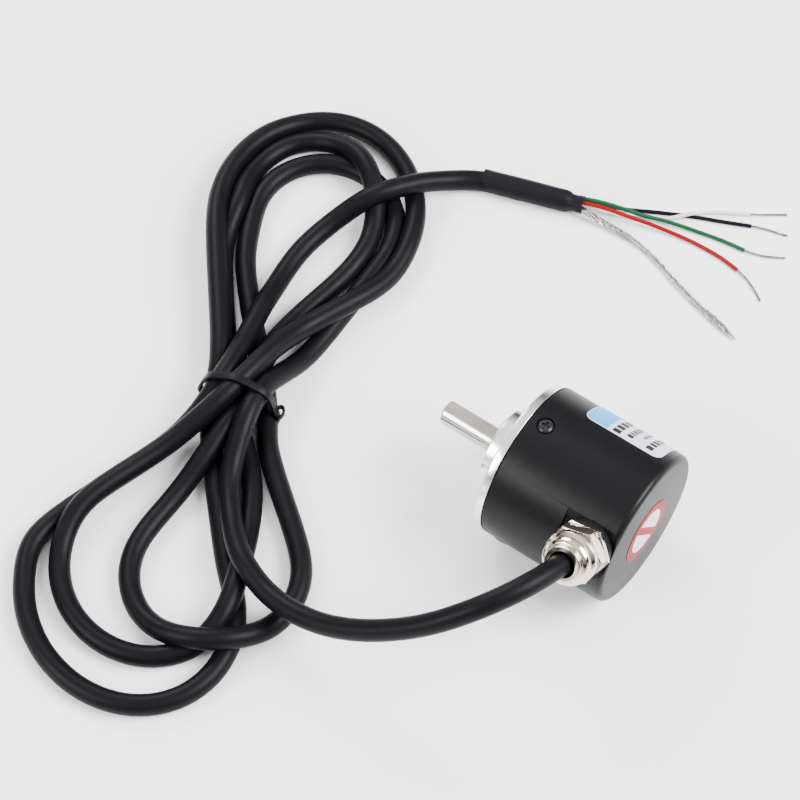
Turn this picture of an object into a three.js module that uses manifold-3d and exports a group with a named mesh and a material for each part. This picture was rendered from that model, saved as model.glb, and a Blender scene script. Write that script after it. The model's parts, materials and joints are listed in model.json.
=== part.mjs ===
// Incremental rotary encoder: 38 mm body, 6 mm shaft, lying on its side with its lead tied in a hank.
// Millimetres, +Z up. The shaft axis is parallel to X at the height of the body's radius: the shaft points
// to -X, the rear face to +X and the cable gland to -Y. The floor is z = 0.
import * as THREE from 'three';
import { mergeVertices } from 'three/addons/utils/BufferGeometryUtils.js';
import Module from 'manifold-3d';

const wasm = await Module();
wasm.setup();

// ---------------------------------------------------------------- driving dimensions
const GAP = 0.3; // between faces of separate pieces
const FIT = 0.15; // between pieces that sit one in the other

const BODY_RADIUS = 19;
const BODY_LENGTH = 34.3; // flange face to rear face
const BOSS_RADIUS = 10;
const BOSS_LENGTH = 5;
const SHAFT_RADIUS = 3;
const SHAFT_REACH = 15.5; // beyond the boss
const FLANGE_THICKNESS = 2.1;
const STICKER_THICKNESS = 0.15;
const TOTAL_LENGTH = SHAFT_REACH + BOSS_LENGTH + BODY_LENGTH + 2 * STICKER_THICKNESS;

// stations along the shaft axis
const TIP_X = -TOTAL_LENGTH / 2;
const BOSS_X = TIP_X + SHAFT_REACH;
const FLANGE_X = BOSS_X + BOSS_LENGTH;
const COVER_X = FLANGE_X + FLANGE_THICKNESS;
const REAR_X = FLANGE_X + BODY_LENGTH;

// front housing, behind the flange
const SPIGOT_RADIUS = 17.7;
const SPIGOT_END = COVER_X + 10;
const SEAL_GROOVE = { start: SPIGOT_END - 2.8, end: SPIGOT_END - 1.2, radius: 16.4 };
const BORE_RADIUS = 6.65;
const LIP_RADIUS = 4.2;
const LIP_THICKNESS = 0.8;
const MOUNT_HOLE_RADIUS = 1.25; // M3 tapping size
const MOUNT_HOLE_DEPTH = 4.8;
const MOUNT_CLOCKS = [30, 90, 150, 210, 270, 330];
const MOUNT_CIRCLES = [15, 14]; // radii of the two pitch circles

// deep-groove bearings, 6 x 13 x 5
const BEARING_RADIUS = 6.5;
const BEARING_WIDTH = 5;
const BALL_RADIUS = 0.8;
const BALL_CIRCLE = 4.75;
const BALL_COUNT = 7;
const FRONT_BEARING_X = BOSS_X + LIP_THICKNESS + GAP;
const BEARING_PITCH = 8.6;
const BEARINGS = { front: FRONT_BEARING_X, rear: FRONT_BEARING_X + BEARING_PITCH };
const SHOULDER_RADIUS = 5.36; // inner edge of an outer ring
const INNER_RACE_RADIUS = 4.14;
const CAGE = { inner: 4.45, outer: 5.05, halfWidth: 0.55 };
const CIRCLIP_X = BEARINGS.rear + BEARING_WIDTH + GAP;
const CIRCLIP_GROOVE = 0.8; // width in the shaft, and depth in the bore

// rear cover
const WALL = 1;
const COVER_EDGE_RADIUS = 1.5;
const COVER_SCREW_X = COVER_X + 4.1;
const COVER_SCREW_CLOCKS = [90, 210, 330];
const COVER_SCREW_TIP = 15.1;
const COVER_SCREW_SEAT = 18.45;
const SCREW_RADIUS = 1; // M2
const SCREW_HEAD_RADIUS = 1.8;
const SCREW_HOLE_RADIUS = 1.25;
const LABEL = { start: COVER_X + 9.1, length: 20, girth: 27.3, clock: 160.5, corner: 2 };
const STICKER_RADIUS = 8;

// shaft's flat and rear end, code disc and optics
const FLAT_HEIGHT = 2.5;
const FLAT_LENGTH = 14;
const FLAT_CLOCK = 97;
const HUB_X = SPIGOT_END + 0.4;
const HUB_SCREW_X = HUB_X + 2;
const HUB_NOSE_X = HUB_X + 4.8;
const SHAFT_END = HUB_X + 7;
const DISC_X = HUB_NOSE_X + GAP;
const DISC_THICKNESS = 0.6;
const DISC_BACK = DISC_X + DISC_THICKNESS;
const DISC_RADIUS = 12.5;
const SLOT_COUNT = 24;
const SLOT = { inner: 10, outer: 11.6, halfWidth: 0.45 };
const INDEX_SLOT = { inner: 7.8, outer: 9.2, halfWidth: 0.3 };
const SLOT_STEP = (2 * Math.PI) / SLOT_COUNT;
const DISC_BORE_RADIUS = 4.2;
const BOARD_X = DISC_X + 2.9;
const BOARD_THICKNESS = 1.2;
const BOARD_RADIUS = 16.5;
const BOARD_BACK = BOARD_X + BOARD_THICKNESS;
const BOARD_CLOCKS = [30, 150, 270];
const STANDOFF_CIRCLE = 14.6;
const PILLAR_RADIUS = 1.8;
const OPTICS_CLOCK = 215;
const OPTICS_CIRCLE = 11;

// cable gland, heights measured out from the shaft axis
const GLAND_X = REAR_X - 6.6;
const GLAND_CLOCK = 31.5; // degrees above horizontal
const POCKET_FLOOR = 18;
const POCKET = { length: 14, width: 16, depth: 4 };
const GLAND_THREAD_RADIUS = 4;
const GLAND_BORE_RADIUS = 2.85;
const HEX_RADIUS = 7;
const HEX_TURN = THREE.MathUtils.degToRad(-15);
const HEX_HEIGHTS = [21.7, 24.6];
const LOCKNUT_RADIUS = 7.2;
const LOCKNUT_TURN = THREE.MathUtils.degToRad(-22);
const LOCKNUT_HEIGHTS = [20.4, 21.4];
const SEAL_FLOOR = 23.8;
const GLAND_FACE = 30.2;

// cord, hank and core wires
const CORD_RADIUS = 2.6;
const WAIST = { x: -74.4, y: -17.6, radius: 6.2 };
const UPPER_LOBE = { x: -92.3, y: 38.6, radius: 27.9 };
const LOWER_LOBE = { x: -61.5, y: -68.5, radius: 32 };
const HANK_HEIGHT = 13;
const TIE_TURN = THREE.MathUtils.degToRad(12);
const TIE_REACH = WAIST.radius + 2.3; // the lobes widen from the waist, so the band stands off it
const TIE_WIDTH = 1.6;
const TIE_THICKNESS = 0.6;
const SLEEVE_START = { x: -64, y: 69.2 };
const SLEEVE_BEARING = THREE.MathUtils.degToRad(17.7);
const SLEEVE_RADIUS = 2.8;
const SLEEVE_LENGTH = 26;
const WIRE_RADIUS = 0.48;
const CONDUCTOR_RADIUS = 0.2;
const SHIELD_RADIUS = 0.7;

// facets round a full turn
const BIG = 48;
const MEDIUM = 20;
const SMALL = 10;

// ---------------------------------------------------------------- solids and booleans
function toSolid(geometry) {
  const bare = geometry.index ? geometry.toNonIndexed() : geometry.clone();
  bare.deleteAttribute('normal');
  bare.deleteAttribute('uv');
  const merged = mergeVertices(bare, 1e-4);
  const index = merged.index.array;
  const triangles = [];
  for (let i = 0; i < index.length; i += 3) {
    const [a, b, c] = [index[i], index[i + 1], index[i + 2]];
    if (a !== b && b !== c && c !== a) triangles.push(a, b, c);
  }
  return new wasm.Manifold(new wasm.Mesh({
    numProp: 3,
    vertProperties: new Float32Array(merged.attributes.position.array),
    triVerts: new Uint32Array(triangles),
  }));
}

function toGeometry(solid) {
  const mesh = solid.getMesh();
  const geometry = new THREE.BufferGeometry();
  geometry.setAttribute('position', new THREE.BufferAttribute(mesh.vertProperties, 3));
  geometry.setIndex(new THREE.BufferAttribute(mesh.triVerts, 1));
  return geometry;
}

function join(first, ...others) {
  return toGeometry(others.reduce((solid, other) => solid.add(toSolid(other)), toSolid(first)));
}

function cut(first, ...tools) {
  return toGeometry(tools.reduce((solid, tool) => solid.subtract(toSolid(tool)), toSolid(first)));
}

function common(first, second) {
  return toGeometry(toSolid(first).intersect(toSolid(second)));
}

// ---------------------------------------------------------------- shapes
// Lathe of a closed [along, radius] outline about Y, whichever way round the outline runs.
function lathe(outline, facets) {
  let area = 0;
  outline.forEach(([along, radius], i) => {
    const [nextAlong, nextRadius] = outline[(i + 1) % outline.length];
    area += radius * nextAlong - nextRadius * along;
  });
  const ordered = area > 0 ? [...outline] : [...outline].reverse();
  ordered.push(ordered[0]);
  const profile = ordered.map(([along, radius]) => new THREE.Vector2(radius, along));
  return new THREE.LatheGeometry(profile, facets);
}

// Solid of revolution about the shaft axis, X.
function turned(outline, facets = BIG) {
  return toGeometry(toSolid(lathe(outline, facets).rotateZ(-Math.PI / 2)));
}

// Solid of revolution about a gland's or screw's axis, Z.
function spun(outline, facets = MEDIUM) {
  return toGeometry(toSolid(lathe(outline, facets).rotateX(Math.PI / 2)));
}

function tubeOutline(start, end, inner, outer) {
  return [[start, inner], [start, outer], [end, outer], [end, inner]];
}

function rodOutline(start, end, radius) {
  return tubeOutline(start, end, 0, radius);
}

// Points of a circular arc on an outline, from one angle to another, in degrees.
function arc(along, radius, size, from, to, steps = 4) {
  return Array.from({ length: steps + 1 }, (_, i) => {
    const angle = THREE.MathUtils.degToRad(from + ((to - from) * i) / steps);
    return [along + size * Math.cos(angle), radius + size * Math.sin(angle)];
  });
}

function block(x, y, z, length, width, height) {
  return new THREE.BoxGeometry(length, width, height).translate(x, y, z);
}

function hexagon(radius, start, end, turn = 0) {
  const prism = new THREE.CylinderGeometry(radius, radius, end - start, 6);
  return prism.rotateX(Math.PI / 2).rotateZ(turn).translate(0, 0, (start + end) / 2);
}

// Hexagon with the corners of one or both ends turned off, as on a nut.
function chamferedHexagon(radius, start, end, turn, chamfer = 0.5) {
  const blank = spun([
    [start, 0], [start, radius - chamfer], [start + chamfer / 2, radius],
    [end - chamfer / 2, radius], [end, radius - chamfer], [end, 0],
  ]);
  return common(hexagon(radius, start, end, turn), blank);
}

// Turns a shape built along +Z to point out from the shaft axis at a clock angle above -Y.
function toClock(geometry, clock, x = 0) {
  return geometry.rotateX(THREE.MathUtils.degToRad(90 - clock)).translate(x, 0, 0);
}

// Turns a shape built along X round to a clock angle, at a distance from the shaft axis.
function atClock(geometry, clock, distance) {
  return toClock(geometry.translate(0, 0, distance), clock);
}

// Plain tube of a section with few sides along a list of [x, y, z] points.
function tube(points, radius, stepLength, sides = 8) {
  const curve = new THREE.CatmullRomCurve3(points.map((point) => new THREE.Vector3(...point)));
  const section = new THREE.Shape(
    Array.from({ length: sides }, (_, i) => {
      const angle = (2 * Math.PI * (i + 0.5)) / sides;
      return new THREE.Vector2(radius * Math.cos(angle), radius * Math.sin(angle));
    }),
  );
  const steps = Math.max(2, Math.round(curve.getLength() / stepLength));
  return toGeometry(toSolid(new THREE.ExtrudeGeometry(section, { steps, extrudePath: curve })));
}

// ---------------------------------------------------------------- scene graph
const part = new THREE.Group();
const encoder = new THREE.Group();
encoder.position.z = BODY_RADIUS;
const rotor = new THREE.Group();
const gland = new THREE.Group();
gland.position.x = GLAND_X;
gland.rotation.x = THREE.MathUtils.degToRad(90 - GLAND_CLOCK);
encoder.add(rotor, gland);
part.add(encoder);

const FINISHES = {
  turnedAluminium: { color: 0xd9dadf, roughness: 0.35, metalness: 1 },
  blackSatin: { color: 0x26262b, roughness: 0.45, metalness: 0.2 },
  blackSteel: { color: 0x2c2c30, roughness: 0.4, metalness: 0.7 },
  groundSteel: { color: 0xb9b5b0, roughness: 0.3, metalness: 1 },
  bearingSteel: { color: 0xc8cacd, roughness: 0.2, metalness: 1 },
  nickel: { color: 0xd8d0c8, roughness: 0.15, metalness: 1 },
  brass: { color: 0xc2a25a, roughness: 0.35, metalness: 1 },
  rubber: { color: 0x151517, roughness: 0.8, metalness: 0 },
  board: { color: 0x1f6b3f, roughness: 0.5, metalness: 0 },
  blackPlastic: { color: 0x1b1b1d, roughness: 0.5, metalness: 0 },
  clearResin: { color: 0x9fb4d8, roughness: 0.1, metalness: 0 },
  discSteel: { color: 0xa9abad, roughness: 0.3, metalness: 1 },
  glass: { color: 0xbfd4d0, roughness: 0.05, metalness: 0 },
  capacitorCan: { color: 0xb6b8bb, roughness: 0.35, metalness: 1 },
  connectorPlastic: { color: 0xe8e4d6, roughness: 0.5, metalness: 0 },
  labelPaper: { color: 0xdcdce6, roughness: 0.5, metalness: 0 },
  stickerRed: { color: 0xe65a5f, roughness: 0.5, metalness: 0 },
  cordSheath: { color: 0x222126, roughness: 0.55, metalness: 0 },
  redSheath: { color: 0xeb3c41, roughness: 0.4, metalness: 0 },
  greenSheath: { color: 0x28825f, roughness: 0.4, metalness: 0 },
  blackSheath: { color: 0x2d2d37, roughness: 0.4, metalness: 0 },
  whiteSheath: { color: 0xf0f0f0, roughness: 0.4, metalness: 0 },
  tinnedCopper: { color: 0xc8c3b9, roughness: 0.3, metalness: 1 },
};

function addTo(group, name, geometry, finish) {
  const mesh = new THREE.Mesh(geometry, new THREE.MeshStandardMaterial(FINISHES[finish]));
  mesh.name = name;
  group.add(mesh);
}

// ---------------------------------------------------------------- front housing
function mountingFlange() {
  const edge = 0.4;
  const rim = 0.3;
  const seat = BOSS_X + LIP_THICKNESS;
  const ringGroove = { start: CIRCLIP_X, end: CIRCLIP_X + 1, radius: BORE_RADIUS + CIRCLIP_GROOVE };
  const blank = turned([
    [BOSS_X, LIP_RADIUS], [BOSS_X, BOSS_RADIUS - edge], [BOSS_X + edge, BOSS_RADIUS],
    [FLANGE_X, BOSS_RADIUS], [FLANGE_X, BODY_RADIUS - rim], [FLANGE_X + rim, BODY_RADIUS],
    [COVER_X, BODY_RADIUS], [COVER_X, SPIGOT_RADIUS],
    [SEAL_GROOVE.start, SPIGOT_RADIUS], [SEAL_GROOVE.start, SEAL_GROOVE.radius],
    [SEAL_GROOVE.end, SEAL_GROOVE.radius], [SEAL_GROOVE.end, SPIGOT_RADIUS],
    [SPIGOT_END, SPIGOT_RADIUS], [SPIGOT_END, BORE_RADIUS],
    [ringGroove.end, BORE_RADIUS], [ringGroove.end, ringGroove.radius],
    [ringGroove.start, ringGroove.radius], [ringGroove.start, BORE_RADIUS],
    [seat, BORE_RADIUS], [seat, LIP_RADIUS],
  ]);
  return cut(blank, ...mountHoles(), ...studHoles(), ...coverScrewHoles());
}

// Six tapped holes in the face: three on each pitch circle, in turn round the shaft.
function mountHoles() {
  return MOUNT_CLOCKS.map((clock, i) => {
    const outline = rodOutline(FLANGE_X - 1, FLANGE_X + MOUNT_HOLE_DEPTH, MOUNT_HOLE_RADIUS);
    return atClock(turned(outline, SMALL), clock, MOUNT_CIRCLES[i % 2]);
  });
}

// Holes in the rear end for the studs of the board's standoffs.
function studHoles() {
  const depth = 2.8;
  return BOARD_CLOCKS.map((clock) => {
    const hole = turned(rodOutline(SPIGOT_END - depth, SPIGOT_END + 1, SCREW_RADIUS + GAP), SMALL);
    return atClock(hole, clock, STANDOFF_CIRCLE);
  });
}

function coverScrewHoles() {
  const floor = COVER_SCREW_TIP - GAP;
  return COVER_SCREW_CLOCKS.map((clock) => (
    toClock(spun(rodOutline(floor, BODY_RADIUS, SCREW_HOLE_RADIUS), SMALL), clock, COVER_SCREW_X)
  ));
}

// Wiper behind the lip that the shaft comes out through.
function dustRing() {
  const [start, end] = [BOSS_X + 0.1, BOSS_X + LIP_THICKNESS - 0.1];
  return turned(tubeOutline(start, end, SHAFT_RADIUS + GAP, LIP_RADIUS - FIT), MEDIUM);
}

function outerSpacer() {
  const bore = 5.6;
  const [start, end] = [BEARINGS.front + BEARING_WIDTH + GAP, BEARINGS.rear - GAP];
  return turned(tubeOutline(start, end, bore, BEARING_RADIUS), MEDIUM);
}

// Internal circlip: a ring with a gap at the bottom.
function retainingRing() {
  const [start, end, bore] = [CIRCLIP_X + 0.1, CIRCLIP_X + 0.9, 5.7];
  const ring = turned(tubeOutline(start, end, bore, BORE_RADIUS + 0.5), MEDIUM);
  return cut(ring, block((start + end) / 2, 0, -BORE_RADIUS, 2, 3, 3));
}

function sealRing() {
  const middle = (SEAL_GROOVE.start + SEAL_GROOVE.end) / 2;
  const section = arc(middle, SEAL_GROOVE.radius + 0.8, 0.6, 0, 300, 5);
  return turned(section, MEDIUM);
}

addTo(encoder, 'mounting_flange', mountingFlange(), 'turnedAluminium');
addTo(encoder, 'shaft_dust_ring', dustRing(), 'rubber');
addTo(encoder, 'bearing_outer_spacer', outerSpacer(), 'turnedAluminium');
addTo(encoder, 'bearing_retaining_ring', retainingRing(), 'blackSteel');
addTo(encoder, 'cover_seal_ring', sealRing(), 'rubber');

// ---------------------------------------------------------------- bearings
function outerRace(x) {
  const end = x + BEARING_WIDTH;
  const bevel = 0.2;
  return turned([
    [x, BEARING_RADIUS - bevel], [x, SHOULDER_RADIUS], ...ballGroove(x, 140, 40), [end, SHOULDER_RADIUS],
    [end, BEARING_RADIUS - bevel], [end - bevel, BEARING_RADIUS], [x + bevel, BEARING_RADIUS],
  ], MEDIUM);
}

function innerRace(x) {
  const end = x + BEARING_WIDTH;
  const bore = SHAFT_RADIUS + FIT;
  return turned([
    [x, bore], [x, INNER_RACE_RADIUS], ...ballGroove(x, 220, 320), [end, INNER_RACE_RADIUS], [end, bore],
  ], MEDIUM);
}

function ballGroove(x, from, to) {
  return arc(x + BEARING_WIDTH / 2, BALL_CIRCLE, BALL_RADIUS + FIT, from, to);
}

// A ball set held by its cage, which turns as one piece.
function ballCage(x) {
  const middle = x + BEARING_WIDTH / 2;
  const outline = tubeOutline(middle - CAGE.halfWidth, middle + CAGE.halfWidth, CAGE.inner, CAGE.outer);
  const balls = Array.from({ length: BALL_COUNT }, (_, i) => {
    const ball = new THREE.SphereGeometry(BALL_RADIUS, 7, 5).translate(middle, 0, BALL_CIRCLE);
    return ball.rotateX((2 * Math.PI * i) / BALL_COUNT);
  });
  return join(turned(outline, MEDIUM), ...balls);
}

for (const [place, x] of Object.entries(BEARINGS)) {
  addTo(encoder, `${place}_bearing_outer`, outerRace(x), 'bearingSteel');
  addTo(rotor, `${place}_bearing_inner`, innerRace(x), 'bearingSteel');
  addTo(encoder, `${place}_ball_cage`, ballCage(x), 'brass');
}

// ---------------------------------------------------------------- rotor
// Stepped shaft with a flat at its front end, a collar between the bearings and a clip groove.
function shaft() {
  const chamfer = 0.4;
  const collar = { start: BEARINGS.front + BEARING_WIDTH + GAP, end: BEARINGS.rear - GAP, radius: 3.9 };
  const groove = { start: CIRCLIP_X, end: CIRCLIP_X + CIRCLIP_GROOVE, radius: 2.6 };
  const rod = turned([
    [TIP_X, 0], [TIP_X, SHAFT_RADIUS - chamfer], [TIP_X + chamfer, SHAFT_RADIUS],
    [collar.start, SHAFT_RADIUS], [collar.start, collar.radius],
    [collar.end, collar.radius], [collar.end, SHAFT_RADIUS],
    [groove.start, SHAFT_RADIUS], [groove.start, groove.radius],
    [groove.end, groove.radius], [groove.end, SHAFT_RADIUS],
    [SHAFT_END - chamfer, SHAFT_RADIUS], [SHAFT_END, SHAFT_RADIUS - chamfer], [SHAFT_END, 0],
  ], 32);
  const reach = FLAT_LENGTH + 1;
  const flatCutter = block(TIP_X - 1 + reach / 2, 0, FLAT_HEIGHT + 1, reach, 8, 2);
  return cut(rod, toClock(flatCutter, FLAT_CLOCK));
}

// External clip: a ring, open at the side where it is pushed on.
function shaftCirclip() {
  const [start, end] = [CIRCLIP_X + 0.15, CIRCLIP_X + 0.65];
  const ring = turned(tubeOutline(start, end, 2.75, 4.4), MEDIUM);
  return cut(ring, block((start + end) / 2, 0, 4, 2, 2.4, 4));
}

// Boss, seat flange and nose that carry the code disc, with a set screw hole.
function discHub() {
  const bore = SHAFT_RADIUS + FIT;
  const [bossRadius, seatRadius, noseRadius] = [5.5, 7, 4];
  const [seatX, end] = [HUB_X + 4, HUB_X + 7.2];
  const blank = turned([
    [HUB_X, bore], [HUB_X, bossRadius], [seatX, bossRadius], [seatX, seatRadius],
    [HUB_NOSE_X, seatRadius], [HUB_NOSE_X, noseRadius], [end, noseRadius], [end, bore],
  ], MEDIUM);
  return cut(blank, spun(rodOutline(0, 8, 1.2), SMALL).translate(HUB_SCREW_X, 0, 0));
}

// Grub screw with a socket.
function setScrew() {
  const [tip, end, radius] = [SHAFT_RADIUS + GAP, 5.4, 0.95];
  const screw = spun([[tip, 0], [tip, 0.6], [tip + 0.3, radius], [end, radius], [end, 0]], SMALL);
  return cut(screw, hexagon(0.45, end - 0.8, end + 1)).translate(HUB_SCREW_X, 0, 0);
}

// Thin disc with a ring of slots and one index slot.
function codeDisc() {
  const outline = new THREE.Shape().absarc(0, 0, DISC_RADIUS, 0, 2 * Math.PI);
  outline.holes.push(new THREE.Path().absarc(0, 0, DISC_BORE_RADIUS, 0, 2 * Math.PI, true));
  for (let i = 0; i < SLOT_COUNT; i++) {
    outline.holes.push(slotOutline(SLOT, i * SLOT_STEP));
  }
  outline.holes.push(slotOutline(INDEX_SLOT, 0));
  const disc = new THREE.ExtrudeGeometry(outline, {
    depth: DISC_THICKNESS, bevelEnabled: false, curveSegments: MEDIUM,
  });
  return toGeometry(toSolid(disc.rotateY(Math.PI / 2).translate(DISC_X, 0, 0)));
}

function slotOutline({ inner, outer, halfWidth }, angle) {
  const corners = [[inner, -halfWidth], [outer, -halfWidth], [outer, halfWidth], [inner, halfWidth]];
  const turn = ([x, y]) => new THREE.Vector2(x, y).rotateAround(new THREE.Vector2(), angle);
  return new THREE.Path(corners.map(turn));
}

function clampRing() {
  const start = DISC_BACK + 0.2;
  return turned(tubeOutline(start, start + 0.8, DISC_BORE_RADIUS, 6.5), MEDIUM);
}

addTo(rotor, 'shaft', shaft(), 'groundSteel');
addTo(rotor, 'shaft_circlip', shaftCirclip(), 'blackSteel');
addTo(rotor, 'disc_hub', discHub(), 'brass');
addTo(rotor, 'hub_set_screw', setScrew(), 'blackSteel');
addTo(rotor, 'code_disc', codeDisc(), 'discSteel');
addTo(rotor, 'disc_clamp_ring', clampRing(), 'brass');

// ---------------------------------------------------------------- optics and circuit board
function onOpticsCircle(x, length, width, height) {
  return atClock(block(x + length / 2, 0, 0, length, width, height), OPTICS_CLOCK, OPTICS_CIRCLE);
}

// Block on the housing's end, bored for the emitter that shines through the disc's slots.
function emitterHolder() {
  const [start, end] = [SPIGOT_END + GAP, DISC_X - 1];
  const bore = turned(rodOutline(HUB_X + 1, DISC_X, 1.75), SMALL);
  return cut(onOpticsCircle(start, end - start, 6, 5), atClock(bore, OPTICS_CLOCK, OPTICS_CIRCLE));
}

function emitter() {
  const [start, length, radius] = [HUB_X + 1.3, 1.6, 1.45];
  const dome = arc(start + length, 0, radius, 80, 0, 5);
  const body = turned([[start, 0], [start, radius], ...dome], SMALL);
  return atClock(body, OPTICS_CLOCK, OPTICS_CIRCLE);
}

// Standoff: a stud in the housing and a tapped pillar that carries the board.
function standoff(clock) {
  const [studTip, foot, end] = [SPIGOT_END - 2.4, SPIGOT_END + GAP, BOARD_X - GAP];
  const bore = { start: end - 4, radius: 1.2 };
  const pillar = turned([
    [studTip, 0], [studTip, SCREW_RADIUS], [foot, SCREW_RADIUS], [foot, PILLAR_RADIUS],
    [end, PILLAR_RADIUS], [end, bore.radius], [bore.start, bore.radius], [bore.start, 0],
  ], SMALL);
  return atClock(pillar, clock, STANDOFF_CIRCLE);
}

function boardScrew(clock) {
  const [tip, shank, seat] = [BOARD_X - 3.2, 0.9, BOARD_BACK + 0.1];
  const top = seat + 1.1;
  const screw = turned([
    [tip, 0], [tip, shank], [seat, shank], [seat, SCREW_HEAD_RADIUS],
    [top - 0.2, SCREW_HEAD_RADIUS - 0.2], [top, 1.2], [top, 0],
  ], SMALL);
  const slots = [[0.35, 2], [2, 0.35]].map(([width, height]) => block(top, 0, 0, 0.8, width, height));
  return atClock(cut(screw, ...slots), clock, STANDOFF_CIRCLE);
}

function sensorBoard() {
  const blank = turned(tubeOutline(BOARD_X, BOARD_BACK, 4.8, BOARD_RADIUS));
  const holes = BOARD_CLOCKS.map((clock) => (
    atClock(turned(rodOutline(BOARD_X - 1, BOARD_BACK + 1, 1.15), SMALL), clock, STANDOFF_CIRCLE)
  ));
  return cut(blank, ...holes);
}

// A block standing on the rear side of the board.
function onBoard(clock, distance, [length, width, height]) {
  return atClock(block(BOARD_BACK + 0.2 + length / 2, 0, 0, length, width, height), clock, distance);
}

// Can with a rolled groove near its foot.
function capacitor() {
  const [foot, radius, height] = [BOARD_BACK + 0.2, 2.4, 5.4];
  const top = foot + height;
  const can = turned([
    [foot, 0], [foot, radius], [foot + 0.8, radius], [foot + 1, radius - 0.2], [foot + 1.2, radius],
    [top - 0.4, radius], [top, radius - 0.4], [top, 0],
  ], SMALL);
  return atClock(can, 240, 9.5);
}

// Header open at the back, where the cores are plugged in.
function coreConnector() {
  const distance = 9.6;
  const shell = onBoard(GLAND_CLOCK, distance, [3.4, 7, 4.4]);
  const mouth = onBoard(GLAND_CLOCK, distance, [4.4, 5.6, 3]).translate(0.6, 0, 0);
  return cut(shell, mouth);
}

addTo(encoder, 'emitter_holder', emitterHolder(), 'blackPlastic');
addTo(encoder, 'light_emitter', emitter(), 'clearResin');
addTo(encoder, 'mask_plate', onOpticsCircle(DISC_BACK + 0.5, 0.4, 6, 4), 'glass');
addTo(encoder, 'photo_sensor', onOpticsCircle(DISC_BACK + 1.1, 0.9, 5.4, 3.4), 'blackPlastic');
addTo(encoder, 'sensor_board', sensorBoard(), 'board');
BOARD_CLOCKS.forEach((clock, i) => {
  addTo(encoder, `board_standoff_${i + 1}`, standoff(clock), 'brass');
  addTo(encoder, `board_screw_${i + 1}`, boardScrew(clock), 'nickel');
});
addTo(encoder, 'driver_chip', onBoard(120, 9, [1.6, 8, 5.6]), 'blackPlastic');
addTo(encoder, 'capacitor', capacitor(), 'capacitorCan');
addTo(encoder, 'core_connector', coreConnector(), 'connectorPlastic');

// ---------------------------------------------------------------- rear cover
// Turned can, with a milled flat and a pad inside it where the gland goes through.
function rearCover() {
  return cut(join(can(), glandPad()), ...glandOpening(), ...screwSeats());
}

function can() {
  const inner = BODY_RADIUS - WALL;
  const edge = COVER_EDGE_RADIUS;
  const innerEdge = 0.6;
  const front = COVER_X + 0.25;
  return turned([
    [front, inner], [front, BODY_RADIUS], ...arc(REAR_X - edge, BODY_RADIUS - edge, edge, 90, 0),
    [REAR_X, 0], [REAR_X - WALL, 0], [REAR_X - WALL, inner - innerEdge],
    [REAR_X - WALL - innerEdge, inner],
  ]);
}

function glandPad() {
  const fill = turned(rodOutline(GLAND_X - 8, REAR_X - WALL / 2, BODY_RADIUS - WALL / 2));
  return common(fill, toClock(block(0, 0, POCKET_FLOOR, 17, 15, 2.8), GLAND_CLOCK, GLAND_X));
}

function glandOpening() {
  const pocket = block(0, 0, POCKET_FLOOR + POCKET.depth / 2, POCKET.length, POCKET.width, POCKET.depth);
  const hole = spun(rodOutline(12, 22, GLAND_THREAD_RADIUS + 0.25));
  return [pocket, hole].map((tool) => toClock(tool, GLAND_CLOCK, GLAND_X));
}

function screwSeats() {
  const headRadius = SCREW_HEAD_RADIUS + 0.25;
  const outline = [
    [16, 0], [16, SCREW_HOLE_RADIUS], [COVER_SCREW_SEAT, SCREW_HOLE_RADIUS],
    [COVER_SCREW_SEAT, headRadius], [20, headRadius], [20, 0],
  ];
  return COVER_SCREW_CLOCKS.map((clock) => toClock(spun(outline, SMALL), clock, COVER_SCREW_X));
}

// Small pan-head screw with a cross recess.
function coverScrew(clock) {
  const seat = COVER_SCREW_SEAT + 0.1;
  const top = seat + 0.65;
  const screw = spun([
    [COVER_SCREW_TIP, 0], [COVER_SCREW_TIP, SCREW_RADIUS], [seat, SCREW_RADIUS],
    [seat, SCREW_HEAD_RADIUS], [seat + 0.4, SCREW_HEAD_RADIUS], [top, 1.4], [top, 0],
  ], SMALL);
  const slots = [[0.4, 2.2], [2.2, 0.4]].map(([length, width]) => block(0, 0, top, length, width, 0.8));
  return toClock(cut(screw, ...slots), clock, COVER_SCREW_X);
}

// Thin curved plate, rounded at its corners, wrapped on the cover.
function nameLabel() {
  const { start, length, girth, clock, corner } = LABEL;
  const shell = turned(tubeOutline(start, start + length, BODY_RADIUS + 0.08, BODY_RADIUS + 0.2));
  const plate = roundedPlate(length, girth, 16, corner);
  return common(shell, toClock(plate, clock, start + length / 2));
}

// Rounded rectangle in X and Y, reaching up from z = 4.
function roundedPlate(length, width, height, radius) {
  const [x, y] = [length / 2, width / 2];
  const outline = new THREE.Shape()
    .moveTo(radius - x, -y)
    .lineTo(x - radius, -y).absarc(x - radius, radius - y, radius, -Math.PI / 2, 0)
    .lineTo(x, y - radius).absarc(x - radius, y - radius, radius, 0, Math.PI / 2)
    .lineTo(radius - x, y).absarc(radius - x, y - radius, radius, Math.PI / 2, Math.PI)
    .lineTo(-x, radius - y).absarc(radius - x, radius - y, radius, Math.PI, 1.5 * Math.PI);
  const options = { depth: height, bevelEnabled: false, curveSegments: 6 };
  return new THREE.ExtrudeGeometry(outline, options).translate(0, 0, 4);
}

function rearSticker() {
  const start = REAR_X + STICKER_THICKNESS;
  return turned(rodOutline(start, start + STICKER_THICKNESS, STICKER_RADIUS), 36);
}

addTo(encoder, 'rear_cover', rearCover(), 'blackSatin');
COVER_SCREW_CLOCKS.forEach((clock, i) => {
  addTo(encoder, `cover_screw_${i + 1}`, coverScrew(clock), 'blackSteel');
});
addTo(encoder, 'name_label', nameLabel(), 'labelPaper');
addTo(encoder, 'rear_sticker', rearSticker(), 'stickerRed');

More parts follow.
